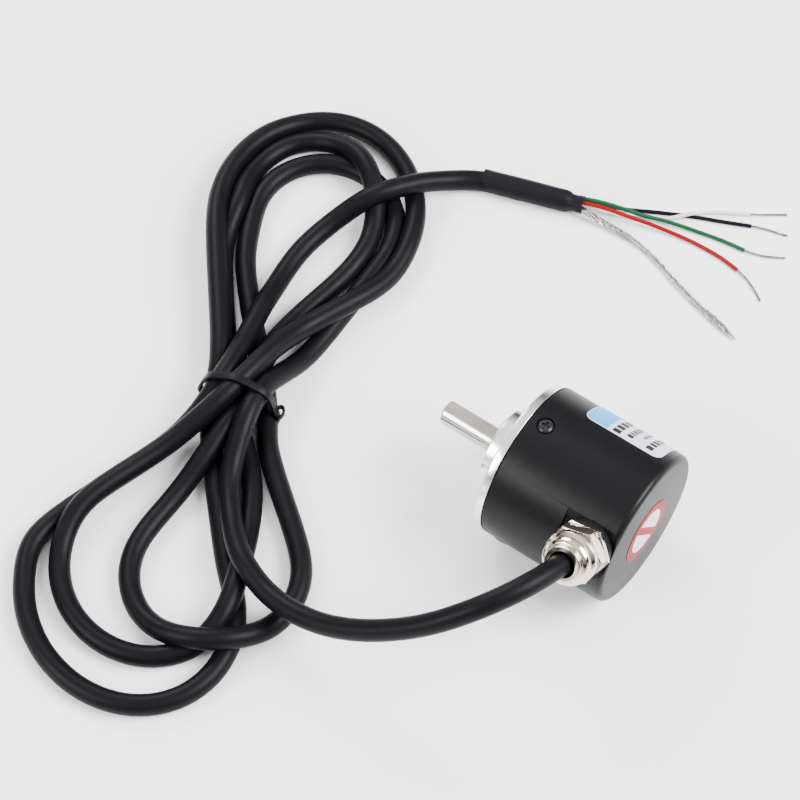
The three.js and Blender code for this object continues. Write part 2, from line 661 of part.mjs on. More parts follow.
// ---------------------------------------------------------------- cable gland
// Threaded body: its lower end goes through the cover, its upper end takes the seal and the cap nut.
function glandBody() {
  const [foot, shoulder, top, necked] = [13.5, 22, 27.6, 4.6];
  const stem = spun([
    [foot, 0], [foot, GLAND_THREAD_RADIUS], [shoulder, GLAND_THREAD_RADIUS],
    [shoulder, necked], [top, necked], [top, 0],
  ]);
  const nut = chamferedHexagon(HEX_RADIUS, ...HEX_HEIGHTS, HEX_TURN);
  const bore = spun(rodOutline(foot - 1, top + 1, GLAND_BORE_RADIUS));
  const sealSeat = spun(rodOutline(SEAL_FLOOR, top + 1, 4));
  return cut(join(stem, nut), bore, sealSeat);
}

function glandLocknut() {
  const [foot, top] = LOCKNUT_HEIGHTS;
  const nut = chamferedHexagon(LOCKNUT_RADIUS, foot, top, LOCKNUT_TURN, 0.3);
  return cut(nut, spun(rodOutline(foot - 1, top + 1, GLAND_THREAD_RADIUS + GAP)));
}

// Domed cap nut with two turned rings and a round mouth.
function glandCap() {
  const foot = HEX_HEIGHTS[1] + GAP;
  const [bore, mouth, roof] = [4.9, 3.1, 28.6];
  const dome = arc(GLAND_FACE - 1, 3.9, 1, 0, 60, 2).reverse();
  return spun([
    [foot, bore], [foot, 6], [foot + 0.3, 6.3], [26.5, 6.3], [26.9, 5.9], [27.1, 5.5],
    [27.4, 5.5], [27.7, 5.75], [28.2, 5.75], [roof, 5.3], ...dome,
    [GLAND_FACE, mouth], [roof, mouth], [roof, bore],
  ], 30);
}

const CORE_BUNDLE_ROUTE = [[0, 0, 13.7], [0, 0, 11.8], [-1.2, 0, 10.2], [-2.9, 0, 9.6]];

addTo(gland, 'gland_washer', spun(tubeOutline(POCKET_FLOOR + 0.2, 20.1, 4.3, 6.3)), 'rubber');
addTo(gland, 'gland_locknut', glandLocknut(), 'nickel');
addTo(gland, 'gland_body', glandBody(), 'nickel');
addTo(gland, 'gland_seal', spun(tubeOutline(SEAL_FLOOR + GAP, 27.9, 2.75, 3.75)), 'rubber');
addTo(gland, 'gland_cap', glandCap(), 'nickel');
addTo(gland, 'core_bundle', tube(CORE_BUNDLE_ROUTE, 1.2, 1.2), 'blackSheath');

// ---------------------------------------------------------------- cord, hank, sleeve and core wires
function glandPoint(height) {
  const angle = THREE.MathUtils.degToRad(GLAND_CLOCK);
  return [GLAND_X, -height * Math.cos(angle), BODY_RADIUS + height * Math.sin(angle)];
}

// Out of the gland, over in a wide arch and down on to the hank.
const LEAD_ROUTE = [
  glandPoint(14), glandPoint(19), glandPoint(24), glandPoint(29),
  [19.6, -30.7, 36.4],
  [18.3, -34.8, 37.1],
  [16.2, -39.3, 37.2],
  [13.7, -43.3, 36.4],
  [10.8, -46.6, 34.7],
  [7.5, -49.4, 32],
  [3.9, -51.9, 29.1],
  [-0.1, -54, 26.2],
  [-8.5, -57.4, 20.8],
  [-18, -59.7, 16],
  [-26.8, -60, 12.7],
];

// Down off the hank and into the sleeve.
const TAIL_ROUTE = [
  [-72.7, 60.7, 5.9],
  [-70.4, 63.9, 4.7],
  [-67.7, 66.6, 3.4],
  [-64.6, 68.9, 2.9],
];

// Belt round two circles, as a tight rope would go round them.
function belt(first, second) {
  const bearing = Math.atan2(second.y - first.y, second.x - first.x);
  const distance = Math.hypot(second.x - first.x, second.y - first.y);
  const lean = Math.acos((first.radius - second.radius) / distance);
  return new THREE.Shape()
    .absarc(second.x, second.y, second.radius, bearing - lean, bearing + lean)
    .absarc(first.x, first.y, first.radius, bearing + lean, bearing - lean + 2 * Math.PI);
}

// The outer shape of the figure-eight hank: two round-ended lobes that meet at the tied waist.
function hank() {
  const options = { depth: HANK_HEIGHT, bevelEnabled: false, curveSegments: 20 };
  const lobes = [UPPER_LOBE, LOWER_LOBE].map((lobe) => new THREE.ExtrudeGeometry(belt(WAIST, lobe), options));
  const tieGroove = acrossWaist(block(0, 0, 0, 40, 2 * TIE_WIDTH, 2));
  return cut(join(...lobes), tieGroove);
}

function acrossWaist(geometry) {
  return geometry.rotateZ(TIE_TURN).translate(WAIST.x, WAIST.y, 0);
}

// Flat band round the waist, with the twisted stub of its ends at one side.
function hankTie() {
  const [floor, top] = [0.05, HANK_HEIGHT + 0.95];
  const span = 2 * TIE_REACH;
  const frame = block(0, 0, (floor + top) / 2, span + 2 * TIE_THICKNESS, TIE_WIDTH, top - floor);
  const room = top - floor - 2 * TIE_THICKNESS;
  const opening = block(0, 0, (floor + top) / 2, span, TIE_WIDTH + 1, room);
  const stub = block(TIE_REACH + 2, 0, 4, 3.2, TIE_WIDTH - 0.2, 2);
  return acrossWaist(join(cut(frame, opening), stub));
}

// Shrink sleeve, necked down where the wires come out.
function sleeve() {
  const start = 0.3;
  const neck = { start: 22, end: 25, radius: 2.1 };
  const lip = 2.3;
  const rod = turned([
    [start, 0], [start, SLEEVE_RADIUS], [neck.start, SLEEVE_RADIUS], [neck.start + 1, neck.radius],
    [neck.end, neck.radius], [SLEEVE_LENGTH - 0.3, lip], [SLEEVE_LENGTH, lip], [SLEEVE_LENGTH, 0],
  ], SMALL);
  return rod.rotateZ(SLEEVE_BEARING).translate(SLEEVE_START.x, SLEEVE_START.y, SLEEVE_RADIUS);
}

addTo(part, 'cord_lead', tube(LEAD_ROUTE, CORD_RADIUS, 8, 10), 'cordSheath');
addTo(part, 'cord_hank', hank(), 'cordSheath');
addTo(part, 'hank_tie', hankTie(), 'blackPlastic');
addTo(part, 'cord_tail', tube(TAIL_ROUTE, CORD_RADIUS, 4, 10), 'cordSheath');
addTo(part, 'end_sleeve', sleeve(), 'rubber');

// Each core: the sheathed stretch and the bare stretch that goes on from it.
const CORES = {
  green: {
    finish: 'greenSheath',
    sheath: [[-38.6, 78.8, 3.8], [-34.8, 80.6, 3.2], [-30.5, 82.1, 2.6], [-26, 83.4, 2.1], [-20, 86, 1.2],
      [-12, 88.2, 0.6], [-5.5, 89.4, 0.6], [0, 90, 0.6]],
    bare: [[0.4, 90.1, 0.6], [3, 90.7, 0.5], [6, 92, 0.4], [9.4, 94, 0.3]],
  },
  red: {
    finish: 'redSheath',
    sheath: [[-38, 77.4, 4], [-34, 79, 3.6], [-28.5, 80.8, 2.6], [-23, 82.6, 1.6], [-17, 84, 0.9],
      [-11, 84.8, 0.6], [-4, 84.8, 0.6], [1.6, 84, 0.6]],
    bare: [[2, 83.9, 0.6], [4.6, 83.2, 0.5], [7.6, 81.8, 0.4], [11, 79.6, 0.3]],
  },
  black: {
    finish: 'blackSheath',
    sheath: [[-38.6, 79, 2.4], [-34.6, 81.2, 1.6], [-30, 83.8, 0.7], [-25, 86.6, 0.6], [-20, 89.2, 0.6],
      [-14.6, 91.8, 0.6], [-9, 94.2, 0.6], [-2.4, 97.2, 0.6]],
    bare: [[-2, 97.4, 0.6], [0.6, 98.4, 0.5], [3.4, 99.2, 0.4], [6.4, 100, 0.3]],
  },
  white: {
    finish: 'whiteSheath',
    sheath: [[-38.4, 77.7, 1.6], [-34.6, 79.6, 0.9], [-30.3, 81.5, 0.6], [-26.2, 83.2, 0.6], [-22.2, 85.7, 0.6],
      [-19, 88.5, 1], [-16, 91.5, 1.8], [-12, 95.1, 1.2], [-4.6, 100, 0.6]],
    bare: [[-4.2, 100.3, 0.6], [-1.8, 101.9, 0.5], [0.4, 103.6, 0.4], [3, 105.4, 0.3]],
  },
};

const SHIELD_ROUTE = [
  [-37.6, 75.9, 2.4], [-34, 76.2, 1.8], [-29.6, 76.6, 1.2], [-25, 76.6, 0.9], [-20, 75.9, 0.8],
  [-14.6, 74.3, 0.8], [-9, 72.2, 0.8], [-3.4, 70.3, 0.8], [2, 68.8, 0.8], [7, 67.6, 0.8], [12, 66.2, 0.8],
];

for (const [colour, { finish, sheath, bare }] of Object.entries(CORES)) {
  addTo(part, `wire_${colour}`, tube(sheath, WIRE_RADIUS, 4), finish);
  addTo(part, `conductor_${colour}`, tube(bare, CONDUCTOR_RADIUS, 4), 'tinnedCopper');
}
addTo(part, 'shield_braid', tube(SHIELD_ROUTE, SHIELD_RADIUS, 4), 'tinnedCopper');

export default part;
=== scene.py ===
"""Incremental rotary encoder lying on its side, with its lead tied in a figure-eight hank.

Metres, +Z up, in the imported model's frame: the shaft axis is parallel to X, the shaft points to -X
and the cable gland to -Y. Clock angles turn about the shaft axis, from -Y (0) over +Z (90) to +Y (180).
"""

import json
import math
import random

import bmesh
import bpy
import numpy as np
from mathutils import Matrix, Vector


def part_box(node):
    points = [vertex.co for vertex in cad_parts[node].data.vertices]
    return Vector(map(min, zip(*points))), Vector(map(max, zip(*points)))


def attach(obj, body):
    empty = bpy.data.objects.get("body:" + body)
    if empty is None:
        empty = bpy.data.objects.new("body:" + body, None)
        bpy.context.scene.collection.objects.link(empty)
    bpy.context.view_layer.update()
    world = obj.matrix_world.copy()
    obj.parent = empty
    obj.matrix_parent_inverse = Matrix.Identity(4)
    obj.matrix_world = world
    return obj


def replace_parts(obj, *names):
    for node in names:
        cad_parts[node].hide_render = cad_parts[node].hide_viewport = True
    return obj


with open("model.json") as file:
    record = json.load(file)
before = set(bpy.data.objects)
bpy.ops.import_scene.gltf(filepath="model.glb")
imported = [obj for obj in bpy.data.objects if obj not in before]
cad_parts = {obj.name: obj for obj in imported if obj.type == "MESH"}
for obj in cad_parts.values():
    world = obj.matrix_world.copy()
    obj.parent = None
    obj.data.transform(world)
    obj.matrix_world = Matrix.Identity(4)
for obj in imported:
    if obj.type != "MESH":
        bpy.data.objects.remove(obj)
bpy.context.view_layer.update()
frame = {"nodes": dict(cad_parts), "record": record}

MM = 0.001
HOUSING, ROTOR = "housing", "rotor"

# ------------------------------------------------------------------ sizes taken from the frame
FLANGE_LOW, FLANGE_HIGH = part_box("mounting_flange")
COVER_LOW, COVER_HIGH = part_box("rear_cover")
SHAFT_LOW, SHAFT_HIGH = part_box("shaft")
AXIS_Z = (COVER_LOW.z + COVER_HIGH.z) / 2
BODY_RADIUS = (COVER_HIGH.y - COVER_LOW.y) / 2
BOSS_X, SPIGOT_END = FLANGE_LOW.x, FLANGE_HIGH.x
FLANGE_X = BOSS_X + 5 * MM
COVER_X = FLANGE_X + 2.1 * MM
REAR_X = COVER_HIGH.x
GLAND_X = sum(corner.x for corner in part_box("gland_cap")) / 2
SCREW_X = sum(corner.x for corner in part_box("cover_screw_1")) / 2
GLAND_CLOCK = 31.5
SCREW_CLOCKS = (90, 210, 330)
MOUNT_CLOCKS = (30, 90, 150, 210, 270, 330)
MOUNT_CIRCLES = (15 * MM, 14 * MM)
BOSS_RADIUS, SHAFT_RADIUS, CORD_RADIUS = 10 * MM, 3 * MM, 2.6 * MM
# Heights over the shaft axis: the flat under the gland, the cover screws' seats and the gland's mouth.
POCKET_FLOOR, SCREW_SEAT, GLAND_MOUTH = 18 * MM, 18.42 * MM, 30.2 * MM
POCKET_LENGTH, POCKET_WIDTH = 14 * MM, 16 * MM
LABEL_LENGTH, LABEL_CLOCKS = 20 * MM, (115, 206)
STICKER_RADIUS, STICKER_TOP = 8 * MM, REAR_X + 0.12 * MM
# Rows of the label's print: middle from its front end and height in mm, first and last degree round it.
LABEL_ROWS = [(8.1, 2.0, 2, 62), (11.2, 1.5, 5, 54), (13.7, 0.9, 14, 44), (16.4, 1.8, 4, 50)]


# ------------------------------------------------------------------ camera
def aim_camera():
    azimuth, elevation, distance = math.radians(35.19), math.radians(58.44), 0.69656
    target = Vector((-0.04471, 0.00587, 0.0))
    back = Vector((
        math.sin(azimuth) * math.cos(elevation),
        -math.cos(azimuth) * math.cos(elevation),
        math.sin(elevation),
    ))
    camera = bpy.data.objects.new("camera", bpy.data.cameras.new("camera"))
    camera.data.sensor_width = 36
    camera.data.lens = 130.95
    camera.data.clip_end = 10
    camera.location = target + back * distance
    camera.rotation_mode = "QUATERNION"
    camera.rotation_quaternion = (-back).to_track_quat("-Z", "Y")
    bpy.context.scene.collection.objects.link(camera)
    bpy.context.scene.camera = camera


aim_camera()

# ------------------------------------------------------------------ routes of the cord and wires
GLAND_TILT = math.radians(GLAND_CLOCK)


def gland_point(height):
    """The point on the gland's axis at a height over the shaft axis."""
    return (GLAND_X, -height * math.cos(GLAND_TILT), AXIS_Z + height * math.sin(GLAND_TILT))


# Out of the gland, over in a wide arch and down on to the hank.
LEAD_ROUTE = [
    gland_point(0.014), gland_point(0.019), gland_point(0.024), gland_point(0.029),
    (0.0196, -0.0307, 0.0364),
    (0.0183, -0.0348, 0.0371),
    (0.0162, -0.0393, 0.0372),
    (0.0137, -0.0433, 0.0364),
    (0.0108, -0.0466, 0.0347),
    (0.0075, -0.0494, 0.0320),
    (0.0039, -0.0519, 0.0291),
    (-0.0001, -0.0540, 0.0262),
    (-0.0085, -0.0574, 0.0208),
    (-0.0180, -0.0597, 0.0160),
    (-0.0268, -0.0600, 0.0127),
    (-0.0341, -0.0591, 0.0104),
]
LEAD_OVER_HANK = [
    (-0.0386, -0.0579), (-0.0429, -0.0563), (-0.0475, -0.0541),
    (-0.0542, -0.0477), (-0.0592, -0.0421), (-0.0636, -0.0358),
]
TAIL_OVER_HANK = [
    (-0.0811, -0.0088), (-0.0838, 0.0008), (-0.0863, 0.0100), (-0.0883, 0.0196), (-0.0887, 0.0277),
    (-0.0868, 0.0368), (-0.0834, 0.0435), (-0.0789, 0.0501), (-0.0750, 0.0573), (-0.0727, 0.0607),
    (-0.0704, 0.0639), (-0.0677, 0.0666), (-0.0646, 0.0689),
]
SLEEVE_REACHES = (0.004, 0.012, 0.020)
# The hank's lobes in the order the cord takes them, by turns on the +Y and the -Y side of the waist. Each is
# a stretch of an ellipse (centre, radii, tilt and sweep in degrees) with a leg to the waist at each end. The
# level orders the strands from the floor up, where they cross.
LOBES = [
    {"centre": (-0.0887, 0.0358), "radii": (0.0179, 0.0187), "tilt": 56, "sweep": (-58, 160),
     "legs": ((-0.0689, 0.0013), (-0.0959, 0.0128)), "level": 1},
    {"centre": (-0.0517, -0.0579), "radii": (0.0202, 0.0198), "tilt": 49, "sweep": (6, -234),
     "legs": ((-0.0621, -0.0241), (-0.0709, -0.0331)), "level": 3},
    {"centre": (-0.0937, 0.0355), "radii": (0.0171, 0.0228), "tilt": 31, "sweep": (-50, 182),
     "legs": ((-0.0777, 0.0033), (-0.1039, 0.0140)), "level": 2},
    {"centre": (-0.0645, -0.0667), "radii": (0.0228, 0.0201), "tilt": -26, "sweep": (51, -176),
     "legs": ((-0.0579, -0.0352), (-0.0768, -0.0303)), "level": 2},
    {"centre": (-0.0911, 0.0359), "radii": (0.0303, 0.0246), "tilt": -63.5, "sweep": (37, 287),
     "legs": ((-0.0732, 0.0033), (-0.0851, -0.0111)), "level": 3},
    {"centre": (-0.0638, -0.0744), "radii": (0.0236, 0.0285), "tilt": 62, "sweep": (-3, -245),
     "legs": ((-0.0761, -0.0278), (-0.0797, -0.0310)), "level": 1},
]
LOBE_POINTS = 11
WAIST = Vector((-0.0744, -0.0176))
# Turns from X, in plan, of the line the strands pass the waist on, and of the tie.
WAIST_TURN, TIE_TURN = math.radians(20), math.radians(13)
# Where each crossing passes the waist, in mm across it from its middle, and its level.
CROSSINGS = [(5.2, 4.1), (6.6, 1.2), (2.2, 2.5), (-2.2, 1.1), (0.2, 4.2), (-6.6, 1.0), (-4.8, 4.0)]
LEAD_LEVEL, TAIL_LEVEL = 4, 4
PATH_STEP = 2 * MM

SLEEVE_START = Vector((-0.0640, 0.0692, 0.0028))
SLEEVE_BEARING = math.radians(17.7)
SLEEVE_AXIS = Vector((math.cos(SLEEVE_BEARING), math.sin(SLEEVE_BEARING), 0))
SLEEVE_LENGTH = 26 * MM
SLEEVE_MOUTH = SLEEVE_START + SLEEVE_AXIS * SLEEVE_LENGTH
# How far inside the mouth the cores and the shield start.
CORES_INSIDE, SHIELD_INSIDE = 3 * MM, 2.5 * MM

# Each core: its colour, the sheathed stretch and the bare stretch that goes on from it.
CORES = {
    "green": {
        "sheath": [(-0.0386, 0.0788, 0.0038), (-0.0348, 0.0806, 0.0032), (-0.0305, 0.0821, 0.0026),
                   (-0.0260, 0.0834, 0.0021), (-0.0200, 0.0860, 0.0012), (-0.0120, 0.0882, 0.0006),
                   (-0.0055, 0.0894, 0.0006), (0.0, 0.0900, 0.0006)],
        "bare": [(0.0004, 0.0901, 0.0006), (0.0030, 0.0907, 0.0005), (0.0060, 0.0920, 0.0004),
                 (0.0094, 0.0940, 0.0003)],
    },
    "red": {
        "sheath": [(-0.0380, 0.0774, 0.0040), (-0.0340, 0.0790, 0.0036), (-0.0285, 0.0808, 0.0026),
                   (-0.0230, 0.0826, 0.0016), (-0.0170, 0.0840, 0.0009), (-0.0110, 0.0848, 0.0006),
                   (-0.0040, 0.0848, 0.0006), (0.0016, 0.0840, 0.0006)],
        "bare": [(0.0020, 0.0839, 0.0006), (0.0046, 0.0832, 0.0005), (0.0076, 0.0818, 0.0004),
                 (0.0110, 0.0796, 0.0003)],
    },
    "black": {
        "sheath": [(-0.0386, 0.0790, 0.0024), (-0.0346, 0.0812, 0.0016), (-0.0300, 0.0838, 0.0007),
                   (-0.0250, 0.0866, 0.0006), (-0.0200, 0.0892, 0.0006), (-0.0146, 0.0918, 0.0006),
                   (-0.0090, 0.0942, 0.0006), (-0.0024, 0.0972, 0.0006)],
        "bare": [(-0.0020, 0.0974, 0.0006), (0.0006, 0.0984, 0.0005), (0.0034, 0.0992, 0.0004),
                 (0.0064, 0.1000, 0.0003)],
    },
    "white": {
        "sheath": [(-0.0384, 0.0781, 0.0016), (-0.0346, 0.0798, 0.0010), (-0.0303, 0.0815, 0.0007),
                   (-0.0262, 0.0832, 0.0006), (-0.0222, 0.0857, 0.0006), (-0.0190, 0.0885, 0.0010),
                   (-0.0160, 0.0915, 0.0017), (-0.0120, 0.0951, 0.0012), (-0.0046, 0.1000, 0.0006)],
        "bare": [(-0.0042, 0.1003, 0.0006), (-0.0018, 0.1019, 0.0005), (0.0004, 0.1036, 0.0004),
                 (0.0030, 0.1054, 0.0003)],
    },
}
SHIELD_ROUTE = [
    (-0.0376, 0.0759, 0.0024), (-0.0340, 0.0762, 0.0018), (-0.0296, 0.0766, 0.0012),
    (-0.0250, 0.0766, 0.0009), (-0.0200, 0.0759, 0.0008), (-0.0146, 0.0743, 0.0008),
    (-0.0090, 0.0722, 0.0008), (-0.0034, 0.0703, 0.0008), (0.0020, 0.0688, 0.0008),
    (0.0070, 0.0676, 0.0008), (0.0120, 0.0662, 0.0008),
]
WIRE_RADIUS, SHIELD_RADIUS = 0.52 * MM, 0.7 * MM


def catmull_rom(points):
    """A smooth path through the rows of points, any number of columns wide."""
    rows = np.asarray(points, float)
    padded = np.vstack([2 * rows[0] - rows[1], rows, 2 * rows[-1] - rows[-2]])
    path = []
    for a, b, c, d in zip(padded, padded[1:], padded[2:], padded[3:]):
        for t in np.arange(10) / 10:
            path.append(0.5 * (2 * b + (c - a) * t + (2 * a - 5 * b + 4 * c - d) * t**2
                               + (3 * b - 3 * c + d - a) * t**3))
    return np.array(path + [rows[-1]])


def even_steps(path, step, columns=3):
    """The path resampled at even steps, measured along its first columns."""
    lengths = np.linalg.norm(np.diff(path[:, :columns], axis=0), axis=1)
    along = np.concatenate([[0], np.cumsum(lengths)])
    stations = np.linspace(0, along[-1], round(along[-1] / step) + 1)
    return np.column_stack([np.interp(stations, along, column) for column in path.T])


def smooth_row(values, sigma):
    """The values averaged with their neighbours, with weights that fall off as a bell curve."""
    reach = int(4 * sigma) + 1
    weights = np.exp(-0.5 * (np.arange(-reach, reach + 1) / sigma) ** 2)
    return np.convolve(np.pad(values, reach, mode="edge"), weights / weights.sum(), mode="valid")


def lobe_plan(lobe):
    """The points round one lobe in plan, from leg to leg."""
    tilt = math.radians(lobe["tilt"])
    turn = np.array([[math.cos(tilt), math.sin(tilt)], [-math.sin(tilt), math.cos(tilt)]])
    angles = np.radians(np.linspace(*lobe["sweep"], LOBE_POINTS))
    arc = np.column_stack([np.cos(angles), np.sin(angles)]) * lobe["radii"] @ turn + lobe["centre"]
    return np.vstack([lobe["legs"][0], arc, lobe["legs"][1]])


def crossing_place(across):
    """The point of the waist's line at a distance across it, in mm."""
    reach = across * MM
    return (WAIST.x + reach * math.cos(WAIST_TURN), WAIST.y + reach * math.sin(WAIST_TURN))


def settle(path):
    """Heights of a cord laid on the floor, none below the path's own. Where the cord crosses itself, the
    strand of the higher level is lifted a diameter off the lower one, in a long low hump.

    Each round lifts the upper strands that are too low, presses the lower ones down, lets the rest sink under
    the cord's weight and evens the heights out along it.
    """
    diameter = 2 * CORD_RADIUS
    level = smooth_row(path[:, 3], 2)
    order = np.arange(len(path))
    apart = np.linalg.norm(path[:, None, :2] - path[None, :, :2], axis=2)
    crossing = (apart < diameter) & (np.abs(order[:, None] - order) * PATH_STEP > 3 * diameter)
    upper, lower = np.nonzero(crossing & (level[:, None] > level))
    lift = np.sqrt(diameter**2 - apart[upper, lower] ** 2)
    height = path[:, 2].copy()
    for _ in range(200):
        short = np.clip(height[lower] + lift - height[upper], 0, None)
        raised, pressed = np.zeros(len(path)), np.zeros(len(path))
        np.maximum.at(raised, upper, short)
        np.maximum.at(pressed, lower, short)
        weight = 0.3 * MM * (1 - np.minimum(raised / MM, 1))
        height = np.maximum(height + 0.6 * raised - 0.3 * pressed - weight, path[:, 2])
        height = np.maximum((height + smooth_row(height, 2.5)) / 2, path[:, 2])
    return height


def cord_path():
    """The whole cord: lead, six lobes with seven crossings of the waist, and tail."""
    floor = CORD_RADIUS
    rows = [(*place, LEAD_LEVEL) for place in LEAD_ROUTE]
    rows += [(x, y, floor, LEAD_LEVEL) for x, y in LEAD_OVER_HANK]
    for (place, level), lobe in zip(CROSSINGS, LOBES):
        rows.append((*crossing_place(place), floor, level))
        rows += [(x, y, floor, lobe["level"]) for x, y in lobe_plan(lobe)]
    place, level = CROSSINGS[-1]
    rows.append((*crossing_place(place), floor, level))
    rows += [(x, y, floor, TAIL_LEVEL) for x, y in TAIL_OVER_HANK]
    rows += [(*(SLEEVE_START + SLEEVE_AXIS * reach), TAIL_LEVEL) for reach in SLEEVE_REACHES]
    path = even_steps(catmull_rom(rows), PATH_STEP, columns=2)
    path[:, 2] = settle(path)
    return np.column_stack([smooth_row(column, 2) for column in path.T[:3]])


# ------------------------------------------------------------------ materials
def new_material(name):
    material = bpy.data.materials.new(name)
    material.use_nodes = True
    return material, material.node_tree.nodes, material.node_tree.links


def wire_up(links, pairs):
    for source, target in pairs:
        links.new(source, target)


def noise_node(nodes, links, vector, scale, detail=4.0):
    noise = nodes.new("ShaderNodeTexNoise")
    noise.inputs["Scale"].default_value = scale
    noise.inputs["Detail"].default_value = detail
    noise.inputs["Roughness"].default_value = 0.6
    links.new(vector, noise.inputs["Vector"])
    return noise.outputs["Fac"]


def remap(nodes, links, value, low, high, source=(0.35, 0.65)):
    ranged = nodes.new("ShaderNodeMapRange")
    ranged.inputs["From Min"].default_value, ranged.inputs["From Max"].default_value = source
    ranged.inputs["To Min"].default_value = low
    ranged.inputs["To Max"].default_value = high
    links.new(value, ranged.inputs["Value"])
    return ranged.outputs["Result"]


def turning_vector(nodes, links, position):
    """(distance along the shaft axis, radius, 0): the same all round, as the marks of a lathe are."""
    split = nodes.new("ShaderNodeSeparateXYZ")
    links.new(position, split.inputs["Vector"])
    level = nodes.new("ShaderNodeMath")
    level.operation = "SUBTRACT"
    level.inputs[1].default_value = AXIS_Z
    links.new(split.outputs["Z"], level.inputs[0])
    flat = nodes.new("ShaderNodeCombineXYZ")
    wire_up(links, [(split.outputs["Y"], flat.inputs["X"]), (level.outputs["Value"], flat.inputs["Y"])])
    radius = nodes.new("ShaderNodeVectorMath")
    radius.operation = "LENGTH"
    links.new(flat.outputs["Vector"], radius.inputs[0])
    joined = nodes.new("ShaderNodeCombineXYZ")
    wire_up(links, [(split.outputs["X"], joined.inputs["X"]), (radius.outputs["Value"], joined.inputs["Y"])])
    return joined.outputs["Vector"]


def finish_material(name, colour, roughness, metallic=0.0, spread=0.08, mottle=150.0, tint=0.12,
                    grain=2500.0, bump=0.02, turned=False, coat=0.0, specular=0.5, transmission=0.0):
    """A surface whose colour, roughness and height all vary with noise.

    spread is the roughness's variation and tint the colour's, both on the mottle scale (per metre); grain and
    bump are the scale and height of the fine texture; turned makes the fine texture run round the shaft axis.
    """
    material, nodes, links = new_material(name)
    shader = nodes["Principled BSDF"]
    position = nodes.new("ShaderNodeTexCoord").outputs["Object"]
    patches = noise_node(nodes, links, position, mottle)
    fine_vector = turning_vector(nodes, links, position) if turned else position
    fine = noise_node(nodes, links, fine_vector, grain, detail=3.0)
    mix = nodes.new("ShaderNodeMix")
    mix.data_type = "RGBA"
    dark = [channel * (1 - tint) for channel in colour]
    light = [min(1.0, channel * (1 + tint)) for channel in colour]
    mix.inputs["A"].default_value = (*dark, 1)
    mix.inputs["B"].default_value = (*light, 1)
    height = nodes.new("ShaderNodeBump")
    height.inputs["Strength"].default_value = 0.6
    height.inputs["Distance"].default_value = bump * MM
    blend = nodes.new("ShaderNodeMath")
    blend.operation = "MULTIPLY_ADD"
    blend.inputs[1].default_value = 0.5
    links.new(patches, blend.inputs[0])
    half = nodes.new("ShaderNodeMath")
    half.operation = "MULTIPLY"
    half.inputs[1].default_value = 0.5
    wire_up(links, [
        (fine, half.inputs[0]),
        (half.outputs["Value"], blend.inputs[2]),
        (patches, mix.inputs["Factor"]),
        (mix.outputs["Result"], shader.inputs["Base Color"]),
        (remap(nodes, links, blend.outputs["Value"], roughness - spread, roughness + spread),
         shader.inputs["Roughness"]),
        (fine, height.inputs["Height"]),
        (height.outputs["Normal"], shader.inputs["Normal"]),
    ])
    shader.inputs["Metallic"].default_value = metallic
    shader.inputs["Coat Weight"].default_value = coat
    shader.inputs["Coat Roughness"].default_value = 0.2
    shader.inputs["Specular IOR Level"].default_value = specular
    shader.inputs["Transmission Weight"].default_value = transmission
    return material


